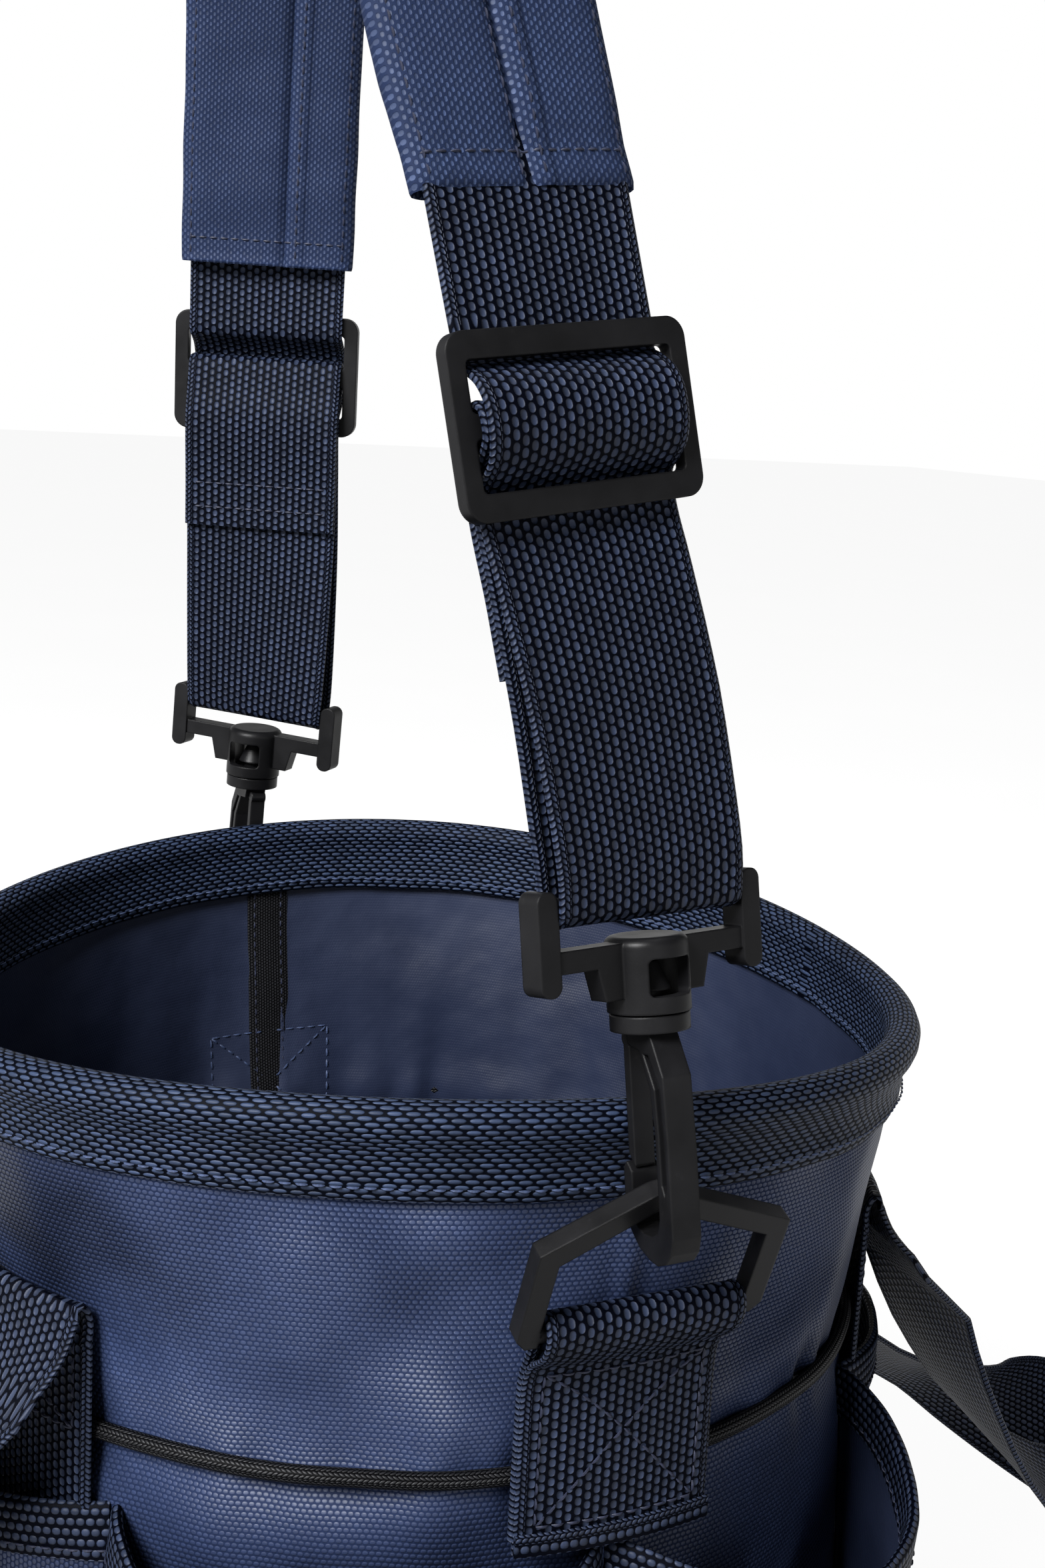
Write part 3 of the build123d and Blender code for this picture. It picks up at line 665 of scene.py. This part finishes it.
def box_x(stitching, frames, curve, lift, first, last, half=20.5):
    """Sewn rectangle with a cross, on the outer face of a band."""
    def spot(i, a):
        p, w, n, run = frames[i]
        return p + w * a + n * (lift - a * a / CURVE * curve[i]), n

    def line(corner_a, corner_b):
        pts, nrm = [], []
        for s in range(25):
            t = s / 24
            f = corner_a[0] + (corner_b[0] - corner_a[0]) * t
            a = corner_a[1] + (corner_b[1] - corner_a[1]) * t
            i = int(min(max(f, 0), len(frames) - 2))
            p0, n0 = spot(i, a)
            p1, n1 = spot(i + 1, a)
            pts.append(p0.lerp(p1, f - i))
            nrm.append(n0.lerp(n1, f - i).normalized())
        stitching.row(pts, nrm, length=2.6, gap=0.9, radius=0.36)

    corners = ((first, -half), (last, -half), (last, half), (first, half))
    for a, b in ((0, 1), (1, 2), (2, 3), (3, 0), (0, 2), (3, 1)):
        line(corners[a], corners[b])


def ring_tab(label, s, drop):
    """Webbing loop that holds a D-ring: sewn flat to the wall, rolled round the ring's foot bar."""
    low = H - 104 - drop / 3
    foot = (137.6, H - 46 - drop)
    outer = [(132.7, low), (132.7, low + 12), (132.6, low + 26), (132.6, low + 38), (133.6, foot[1] - 12),
             (137.0, foot[1] - 8.2), (140.0, foot[1] - 4.6), (141.4, foot[1] - 0.4), (140.5, foot[1] + 2.8),
             (138.0, foot[1] + 4.0), (135.4, foot[1] + 2.6), (133.6, foot[1] - 1.5), (132.4, foot[1] - 7),
             (131.0, foot[1] - 14), (130.5, low + 36), (130.4, low + 22), (130.4, low + 2)]
    pts = smooth(outer, 4)
    rows = [(0.0, s * r, z, 1.0 * -s, 0, 0) for r, z in pts]
    frames = frames_of(rows)
    curve = [ease((foot[1] - 4 - z) / 14) for _, z in pts]
    # the band's face direction has to point away from the bag on its outer layer
    flip = 1 if frames[4][2].y * s > 0 else -1
    frames = [(p, w, n * flip, run) for p, w, n, run in frames]
    sign = [1 if n.y * s > 0 else -1 for p, w, n, run in frames]
    signed = [c * g for c, g in zip(curve, sign)]
    sweep(f"{label}_tab", frames, band(WEB, 1.55), [WEBBING], "bag", (f"{label}_ring_tab",),
          shape=curl(signed))
    box_x(bag_dark, frames, signed, 1.05, 2.5, 15.0)
    # folded hem along the lower edge
    hem_rows = [(x, s * (134.0 - x * x / CURVE), low + 2.6, 0, 0, 1) for x in [i * 2.5 for i in range(-10, 11)]]
    hem_frames = frames_of(hem_rows)
    hem = [(2.9, 0, 25), (2.4, 0.8, 24), (0, 1.15, 22), (-2.4, 0.8, 20), (-2.9, 0, 19), (-2.4, -0.7, 20),
           (2.4, -0.7, 24)]
    sweep(f"{label}_tab_hem", hem_frames, hem, [WEBBING], "bag")


ring_tab("front", -1, 0.0)
ring_tab("rear", 1, 9.0)


def handle_route(side):
    """The drooping loop's route, as in the frame model, in millimetres."""
    x0, z0 = 130.6, H - 57.0
    leg = [(x0 + 1.2, z0 - 5), (x0 + 5.4, z0 - 16), (140.5, z0 - 32), (156, z0 - 66), (179, z0 - 100),
           (213, z0 - 129), (245, z0 - 144)]
    size = math.hypot(leg[-1][0] - leg[-2][0], leg[-1][1] - leg[-2][1])
    droop = ((leg[-1][0] - leg[-2][0]) / size, (leg[-1][1] - leg[-2][1]) / size)
    points = [(side * x, -52.0, z) for x, z in leg]
    for i in range(1, 12):
        t = math.pi * i / 12
        ahead = 56.0 * math.sin(t)
        points.append((side * (leg[-1][0] + droop[0] * ahead), -52.0 * math.cos(t), leg[-1][1] + droop[1] * ahead))
    points += [(side * x, 52.0, z) for x, z in reversed(leg)]
    points = smooth(points, 3)
    last = len(points) - 1
    rows = []
    for i, p in enumerate(points):
        along = (Vector(points[min(i + 1, last)]) - Vector(points[max(i - 1, 0)])).normalized()
        share = clamp((1 - abs(2 * i / last - 1) - 0.2) / 0.72)
        twist = math.radians(90) * ease(share)
        plane_up = Vector((-side * droop[1], 0, droop[0]))
        if share == 0:
            across = Vector((0, 1 if i < last / 2 else -1, 0))
        else:
            across = plane_up.cross(along) * side
            across = (across - along * along.dot(across)).normalized()
        lift = across.cross(along)
        lift = lift if lift.dot(plane_up) > 0 else -lift
        width = across * math.cos(twist) + lift * math.sin(twist)
        rows.append((*p, *width))
    return rows


def handle(label, side):
    """Handle loop with the folds at the tops of its sewn legs."""
    rows = handle_route(side)
    keep = rows[7:-7]
    phi = math.asin(52 / 130.9)
    ends = []
    for y_side in (-1, 1):
        angle = phi * y_side if side > 0 else math.pi - phi * y_side
        out = Vector((math.cos(angle), math.sin(angle), 0))
        across = Vector((0, 1, 0)) - out * out.y
        across.normalize()
        start = []
        for r, dz in ((130.2, -66.5), (130.3, -62), (130.8, -59), (132.0, -57.6), (133.3, -58.6), (134.4, -62),
                      (136.2, -68.5), (139.0, -77.0)):
            turn = ease((-62 - dz) / 26)
            w = (across * (1 - turn) + Vector((0, 1, 0)) * turn).normalized()
            p = out * r + Vector((0, 0, H + dz + warp(angle, 232)))
            start.append((*p, *w))
        ends.append(start)
    first, second = ends
    if keep[0][1] > 0:
        first, second = second, first
    second = [(x, y, z, -a, -b, -c) for x, y, z, a, b, c in second]
    rows = smooth(first, 3) + keep + smooth(second[::-1], 3)
    frames = frames_of(rows)
    n = len(frames)
    curve = [1.0 - ease((min(i, n - 1 - i) - 4) / 26) for i in range(n)]
    # outward side of the band differs between the climb and the fall of the fold
    signed = []
    for (p, w, nn, run), c in zip(frames, curve):
        radial = Vector((p.x, p.y, 0)).normalized()
        signed.append(c * (1 if nn.dot(radial) > 0 else -1) * clamp(abs(nn.dot(radial)) * 2))

    def shape(i, k, a, b, run):
        return a, b - a * a / CURVE * signed[i] + 0.5 * rough(run, a * 0.6, 0, 30, side * 2.0 + 5)

    piece = sweep(f"{label}_handle_loop", frames, band(WEB, 1.6), [WEBBING], None,
                  (f"{label}_handle",), shape=shape)
    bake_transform(piece)
    for y_side, end_name in ((-1, "front"), (1, "rear")):
        angle = phi * y_side if side > 0 else math.pi - phi * y_side
        out = Vector((math.cos(angle), math.sin(angle), 0))
        strip_rows = []
        for step in range(25):
            z = H - 134 + step * 70.5 / 24
            strip_rows.append((*(out * 130.25 + Vector((0, 0, z + warp(angle, z)))), -out.y, out.x, 0))
        f2 = frames_of(strip_rows)
        flip = 1 if f2[3][2].dot(out) > 0 else -1
        f2 = [(p, w, n2 * flip, run) for p, w, n2, run in f2]
        sweep(f"{label}_{end_name}_leg", f2, band(WEB, 1.5), [WEBBING], "bag",
              (f"{label}_{end_name}_anchor",), shape=curl([1.0] * 25))
        box_x(bag_dark, f2, [1.0] * 25, 1.05, 15.5, 23.0)


handle("left", -1)
handle("right", 1)

# ---- pockets ------------------------------------------------------------------------------
POCKETS = (
    ("right_pocket", -36, 36, 15.0, 6.0),
    ("left_pocket", 144, 216, 15.0, 6.0),
    ("front_right_pocket", -89.4, -37, 27.0, 15.0),
    ("front_left_pocket", -143, -90.6, 27.0, 17.0),
    ("rear_right_pocket", 37, 89.4, 27.0, 14.0),
    ("rear_left_pocket", 90.6, 143, 27.0, 14.0),
)
MOUTH = H - 108.0


def pocket(name, start, end, bulge, sag):
    """Gathered outer pocket: its wall stands off the bag at the mouth and tucks in at the base."""
    cols, rows = 56, 30
    a0, a1 = math.radians(start), math.radians(end)
    seed = a0 * 3.1

    def point(t, h, inset):
        """t across, h from the base up to the mouth."""
        angle = a0 + (a1 - a0) * t
        swell = math.sin(math.pi * t)
        swell = max(swell, 0.0) ** 0.85
        top = MOUTH - sag * math.sin(math.pi * t) ** 1.3
        z = 7.0 + (top - 7.0) * h
        base = max(table(WALL, z) + 1.3, 128.6 if z < 30 else 0.0)
        reach = (133.2 + bulge - base) * (0.42 + 0.58 * h ** 1.2) * ease(h * 7.0)
        x, y = math.cos(angle) * 130, math.sin(angle) * 130
        fold = rough(x, y, z * 0.5, 24, seed) * 1.6 + rough(x, y, z, 9, seed + 3) * 0.35
        gather = math.sin(t * 34 + 2 * rough(x, y, 0, 20, seed)) * 0.7 * (1 - ease(h * 5.0)) * ease(h * 30)
        r = base + reach * swell + (fold * swell * 0.8 + gather * swell) - inset
        r = max(r, table(WALL, z) + 0.35 + (1.0 - inset) * 0.5)
        wob = 0.9 * rough(x, y, 3, 14, seed + 5) * ease(h * 3 - 2) * swell
        return Vector((math.cos(angle) * r, math.sin(angle) * r, z + wob + warp(angle, z) * 0.6))

    verts, faces, uvs, slots = [], [], [], []
    for layer, inset in ((0, 0.0), (1, 1.1)):
        for j in range(rows + 1):
            h = (j / rows) ** 0.9
            for i in range(cols + 1):
                verts.append(point(i / cols, h, inset))
    wide = cols + 1
    size = (rows + 1) * wide

    def mapped(index):
        index %= size
        return ((index % wide) / cols * (a1 - a0) * 145, verts[index].z)

    for layer in (0, 1):
        for j in range(rows):
            for i in range(cols):
                a = layer * size + j * wide + i
                order = (a, a + 1, a + 1 + wide, a + wide)
                if layer:
                    order = order[::-1]
                faces.append(order)
                uvs.append(tuple(mapped(q) for q in order))
                slots.append(layer)
    border = [j * wide for j in range(rows, -1, -1)] + list(range(1, wide))
    border += [j * wide + cols for j in range(1, rows + 1)] + [rows * wide + i for i in range(cols - 1, -1, -1)]
    for q in range(len(border)):
        a, b = border[q], border[(q + 1) % len(border)]
        if a == b:
            continue
        order = (b, a, a + size, b + size)
        faces.append(order)
        uvs.append(tuple(mapped(w) for w in order))
        slots.append(0)
    build(f"{name}_cloth", verts, faces, uvs, [OXFORD, LINING], "bag", (name,), slots)

    frames = []
    run = 0.0
    count = 72
    for i in range(count + 1):
        t = i / count
        p = point(t, 1.0, 0.55)
        before, after = point(max(t - 0.01, 0), 1.0, 0.55), point(min(t + 0.01, 1), 1.0, 0.55)
        along = (after - before).normalized()
        down = point(t, 1.0, 0.55) - point(t, 0.92, 0.55)
        up = (down - along * along.dot(down)).normalized()
        out = along.cross(up)
        radial = Vector((p.x, p.y, 0))
        if out.dot(radial) < 0:
            out = -out
        if i:
            run += (p - frames[-1][0]).length
        frames.append((p, out, up, run))
    leg = 12.5
    binding = [(1.5, -leg, -12), (1.75, -leg + 1, -11), (1.6, -6, -6), (1.55, -0.8, -1.4), (1.1, 0.9, 0.3),
               (0.0, 1.5, 1.6), (-1.1, 0.9, 2.9), (-1.55, -0.8, 4.5), (-1.6, -6, 9), (-1.75, -leg + 1, 14),
               (-1.5, -leg, 15), (-0.8, -leg + 0.4, 15), (-0.75, -3, 15), (0.0, -0.4, 15), (0.75, -3, 15),
               (0.8, -leg + 0.4, 15)]

    def ripple(i, k, a, b, run):
        p = frames[i][0]
        return a + 0.25 * rough(p.x, p.y, b * 2, 9, 4.4), b + 0.3 * rough(p.x, p.y, a, 16, 1.2) * (b < -8)

    sweep(f"{name}_mouth_binding", frames, binding, [WEBBING], "bag", (f"{name}_binding",), shape=ripple)
    for sign in (1, -1):
        pts = [p + out * (1.85 * sign) + up * (-leg + 2.6) for p, out, up, r in frames]
        nrm = [out * sign for p, out, up, r in frames]
        bag_dark.row(pts, nrm, length=2.6, gap=0.9, radius=0.33)


for spec in POCKETS:
    pocket(*spec)

# ---- shoulder strap -----------------------------------------------------------------------
ARCH = [
    (-22.0, -122.0, 439.0, 0.99, 0.14, 0.0), (-26.0, -103.0, 485.0, 0.99, 0.08, 0.0),
    (-32.0, -88.0, 524.0, 0.99, 0.0, 0.0), (-36.5, -73.0, 568.0, 0.99, -0.08, 0.0),
    (-38.0, -54.0, 628.0, 0.99, -0.14, 0.0), (-35.0, -22.0, 683.0, 0.99, -0.16, 0.0),
    (-28.0, 25.0, 714.0, 0.99, -0.17, 0.0), (-19.0, 76.0, 693.0, 0.98, -0.19, 0.0),
    (-11.5, 112.0, 640.0, 0.97, -0.24, 0.0), (-7.0, 128.0, 580.0, 0.95, -0.31, 0.0),
    (-4.5, 136.5, 530.0, 0.92, -0.38, 0.0), (-3.5, 140.0, 478.0, 0.89, -0.45, 0.0),
    (-2.0, 143.0, 444.0, 0.87, -0.50, 0.0),
]


class Loop:
    """Webbing between a yoke and its slider: s along the strap, o away from the bag."""

    def __init__(self, side, base, up, bars, end):
        up = Vector(up).normalized()
        self.side = side
        self.foot = Vector(base) + up * YOKE_BAR
        self.middle = Vector(end[:3])
        self.length = (self.middle - self.foot).length
        self.along = (self.middle - self.foot).normalized()
        top = Vector(end[3:])
        self.top = (top - self.along * self.along.dot(top)).normalized()
        bars = Vector(bars)
        bar = (bars - up * up.dot(bars)).normalized()
        self.low = bar if bar.dot(top) > 0 else -bar
        self.start = (self.along - self.low * self.low.dot(self.along)).normalized()

    def row(self, s, o):
        share = clamp(s / self.length)
        bend = (self.start - self.along) * (s * (1 - share) ** 2)
        bent = (1 - share) ** 2
        width = (self.low * bent + self.top * (1 - bent)).normalized()
        along = (self.start * bent + self.along * (1 - bent)).normalized()
        normal = width.cross(along)
        normal = normal if normal.y * self.side > 0 else -normal
        p = self.foot + self.along * s + bend + normal * o
        return (*p, *width)

    def rows(self):
        """From the sewn end on the slider's middle bar, round the yoke's bar, to above the slider."""
        n = self.length
        spots = [(n - 50, -6.3), (n - 36, -6.2), (n - 21, -6.9), (n - 12.5, -6.5), (n - 6, -4.7), (n - 0.5, -3.5),
                 (n + 3.2, -2.4), (n + 4.4, 0.1), (n + 3.2, 2.7), (n, 3.4), (n - 3, 2.8), (n - 7, -0.6),
                 (n - 12, -4.5), (n - 21, -4.9), (n - 34, -4.3), (n - 60, -4.1), (12, -3.9), (0, -3.4),
                 (-2.4, -2.4), (-3.4, 0), (-2.4, 2.4), (0, 3.4), (12, 3.8), (n - 60, 2.0), (n - 34, -0.9),
                 (n - 21, -2.8), (n - 13.4, -2.8), (n - 10.4, 0.2), (n - 7.4, 3.8), (n - 3.6, 5.5), (n, 5.9),
                 (n + 4.4, 5.4), (n + 8.4, 3.2), (n + 11, -0.2), (n + 13, -2.9), (n + 19, -2.9)]
        return [self.row(s, o) for s, o in spots]


front_loop = Loop(-1, (-5.5, -150.9, 278.5), (-0.03, 0.2, 1.0), (0.975, 0.2, 0.0), ARCH[0])
rear_loop = Loop(1, (-2.0, 150.9, 269.5), (0.03, -0.05, 1.0), (0.70, -0.71, 0.0), ARCH[-1])
front_rows = smooth(front_loop.rows(), 4)
rear_rows = smooth(rear_loop.rows(), 4)
pad_route = smooth(ARCH[1:-1], 8)
web_rows = front_rows + pad_route[2:-2] + rear_rows[::-1]
web_frames = frames_of(web_rows)
sweep("strap_band", web_frames, band(WEB, 1.6, 0.18), [WEBBING], "strap", ("strap_webbing",),
      shape=lambda i, k, a, b, run: (a, b + 0.12 * rough(run, a, 0, 12, 3.3)))

strap_dark = Stitching()
for rows, loop in ((front_rows, front_loop), (rear_rows, rear_loop)):
    f = frames_of(rows)
    face = -1 if f[2][2].y * loop.side > 0 else 1
    for s_row in (2, 4):
        p, w, n, run = f[s_row]
        pts = [p + w * a + n * (face * 1.05) for a in [i * 2.2 for i in range(-10, 11)]]
        strap_dark.row(pts, [n * face] * len(pts), length=2.4, gap=0.8, radius=0.34)

# ---- shoulder pad -------------------------------------------------------------------------
pad_frames = frames_of(pad_route)
pad_length = pad_frames[-1][3]


def pad_frame(s):
    """Frame at distance s along the pad."""
    s = clamp(s, 0, pad_length)
    i = 0
    while i < len(pad_frames) - 2 and pad_frames[i + 1][3] < s:
        i += 1
    (p, w, n, r0), (q, x, m, r1) = pad_frames[i], pad_frames[i + 1]
    t = (s - r0) / max(r1 - r0, 1e-6)
    return p.lerp(q, t), w.lerp(x, t).normalized(), n.lerp(m, t).normalized(), s


def pad_height(a, face):
    """Half thickness of the pad here: crowned, with the overlapped seam of its sleeve along each face."""
    e = clamp((27.5 - abs(a)) / 27.5)
    h = 1.0 + 3.5 * clamp(e * 6) ** 0.5 + 0.9 * math.sin(e * math.pi / 2)
    d = a if face > 0 else a - 6.0
    h -= 1.5 * math.exp(-(d / 1.3) ** 2) + 0.7 * math.exp(-(d / 5.0) ** 2)
    h += 0.75 * ease((d + 0.2) / 0.5) * (1 - ease((d - 5.2) / 0.9))
    return 1.0 if abs(a) > 27 else h


def pad_section():
    """Crowned pad section, closer columns at its edges and its seams."""
    spots = [-27.4, -26.6, -25.4, -23.8, -21.5, -18, -14, -10, -7, -4.5, -2.6, -1.4, -0.7, -0.1, 0.4, 1.2, 2.5, 4.2,
             5.3, 5.9, 6.4, 7.2, 8.6, 10.2, 11.2, 11.8, 12.4, 14, 18, 21.5, 23.8, 25.4, 26.6, 27.4]
    top = [(a, pad_height(a, 1) - 2.0, a) for a in spots]
    under = [(a, -pad_height(a, -1) - 2.0, a) for a in spots]
    return top + under[::-1]


def pad_thin(d):
    """Share of the pad's thickness at this distance from its nearer end."""
    return 0.66 + 0.34 * ease(max(d, 9) / 26)


PAD_STEPS = 210
pad_list = [(11.0, 0.72, 0.97), (1.4, 0.74, 0.975), (0.2, 0.84, 0.985), (0.0, 0.9, 0.99), (0.5, 0.97, 0.995)]
pad_rows = list(pad_list)
for i in range(PAD_STEPS + 1):
    s = 1.2 + (pad_length - 2.4) * i / PAD_STEPS
    pad_rows.append((s, pad_thin(min(s, pad_length - s)), 1.0))
pad_rows += [(pad_length - s, thin, wide) for s, thin, wide in reversed(pad_list)]
pad_sweep = [pad_frame(s) for s, thin, wide in pad_rows]


def pad_shape(i, k, a, b, run):
    s, thin, wide = pad_rows[i]
    inner = b < -2.0
    crease = rough(s, a * 0.35, 0 if inner else 40, 9.0, 6.6) * (0.55 if inner else 0.25)
    soft = rough(s * 0.7, a, 11, 24, 2.2) * 0.5
    hem = -0.45 * math.exp(-((min(s, pad_length - s) - 8.0) / 0.9) ** 2)
    h = (b + 2.0) * (thin if i > 4 else thin * 0.72) + (crease + soft) * (1 if i > 4 else 0)
    h += hem * (1 if not inner else -1)
    a2 = a * wide + (0.35 * rough(s, 0, 0, 17, 1.1) * (1 if a > 0 else -1) if abs(a) > 20 else 0)
    return a2, h - 2.0


pad = sweep("pad_cover", pad_sweep, pad_section(), [PADCLOTH], "strap", ("pad_sleeve", "pad_core"),
            shape=pad_shape, sharp=70)


def pad_surface(s, a, face):
    """Point on the pad's face and its outward direction."""
    p, w, n, _ = pad_frame(s)
    thin = pad_thin(min(s, pad_length - s))
    lift = rough(s, a * 0.35, 40 if face > 0 else 0, 9.0, 6.6) * (0.25 if face > 0 else 0.55)
    lift += rough(s * 0.7, a, 11, 24, 2.2) * 0.5
    return p + w * a + n * (face * (pad_height(a, face) * thin + 0.1) + lift - 2.0), n * face


for a, face in ((3.4, 1), (-1.9, 1), (9.4, -1), (24.2, 1), (-24.2, 1), (24.2, -1), (-24.2, -1)):
    line = [pad_surface(2.0 + (pad_length - 4.0) * i / 299, a, face) for i in range(300)]
    strap_dark.row([p for p, n in line], [n for p, n in line], length=2.6, gap=1.1, radius=0.32)
for s in (7.6, pad_length - 7.6):
    for face in (1, -1):
        line = [pad_surface(s, i * 2.1, face) for i in range(-12, 13)]
        strap_dark.row([p for p, n in line], [n for p, n in line], length=2.5, gap=0.9, radius=0.32)

bag_blue.sew("bag_rim_stitching", THREAD_BLUE, "bag")
bag_dark.sew("bag_stitching", THREAD_DARK, "bag")
strap_dark.sew("strap_stitching", THREAD_DARK, "strap")

# ---- plastics keep their frame-model shapes -----------------------------------------------
for node in ("front_d_ring", "rear_d_ring", "front_hook", "rear_hook", "front_hook_gate", "rear_hook_gate",
             "front_yoke", "rear_yoke", "front_slider", "rear_slider"):
    obj = bpy.data.objects.get(node)
    obj.data.materials.clear()
    obj.data.materials.append(BLACK)

# ---- floor, light, camera -----------------------------------------------------------------
floor_mesh = bpy.data.meshes.new("floor")
floor_mesh.from_pydata([(-9, -6, 0), (9, -6, 0), (9, 12, 0), (-9, 12, 0)], [], [(0, 1, 2, 3)])
floor = bpy.data.objects.new("floor", floor_mesh)
bpy.context.scene.collection.objects.link(floor)
floor_net = Net("floor_pale")
floor_grain = floor_net.noise(floor_net.spot(), 3.0, 2.0)
floor_tone = floor_net.mix(floor_net.remap(floor_grain, 0.3, 0.7), (0.07, 0.07, 0.07, 1), (0.08, 0.08, 0.08, 1))
floor_net.set(Base_Color=floor_tone, Roughness=0.85, Emission_Color=(1, 1, 1, 1), Emission_Strength=0.93,
              Specular_IOR_Level=0.0)
floor_mesh.materials.append(floor_net.mat)


def softbox(name, place, aim, size, power, tone=(1, 1, 1)):
    light = bpy.data.lights.new(name, "AREA")
    light.shape = "RECTANGLE"
    light.size, light.size_y = size
    light.energy = power
    light.color = tone
    obj = bpy.data.objects.new(name, light)
    obj.location = place
    obj.rotation_euler = (Vector(aim) - Vector(place)).to_track_quat("-Z", "Y").to_euler()
    bpy.context.scene.collection.objects.link(obj)


softbox("key", (-1.6, -0.8, 1.7), (0, 0, 0.35), (1.1, 0.9), 225)
softbox("fill", (0.1, -2.3, 0.9), (0, 0, 0.3), (1.2, 1.2), 9)
softbox("top", (0.2, 0.5, 2.2), (0, 0, 0.3), (1.2, 1.2), 20)
world = bpy.data.worlds.new("studio")
bpy.context.scene.world = world
world.use_nodes = True
sky = world.node_tree
compass = sky.nodes.new("ShaderNodeTexCoord")
axes = sky.nodes.new("ShaderNodeSeparateXYZ")
sky.links.new(compass.outputs["Generated"], axes.inputs[0])
fade = sky.nodes.new("ShaderNodeMapRange")
for key_name, value in (("From Min", 0.2), ("From Max", 0.42), ("To Min", 1.0), ("To Max", 0.03)):
    fade.inputs[key_name].default_value = value
sky.links.new(axes.outputs[2], fade.inputs["Value"])
sky.links.new(fade.outputs[0], sky.nodes["Background"].inputs[1])
sky.nodes["Background"].inputs[0].default_value = (1, 1, 1, 1)

right = Vector((0.9028, -0.4264, 0.0560)).normalized()
ahead = Vector((0.4286, 0.8814, -0.1984)).normalized()
right = (right - ahead * ahead.dot(right)).normalized()
up = right.cross(ahead)
camera = bpy.data.objects.new("camera", bpy.data.cameras.new("camera"))
camera.data.sensor_fit = "VERTICAL"
camera.data.sensor_height = 36.0
camera.data.lens = 45.15
camera.data.clip_start = 0.01
spin = Matrix((right, up, -ahead)).transposed()
camera.matrix_world = Matrix.Translation(Vector((-207.1, -487.9, H + 154.9)) * MM) @ spin.to_4x4()
bpy.context.scene.collection.objects.link(camera)
bpy.context.scene.camera = camera
bpy.context.scene.view_settings.view_transform = "Standard"
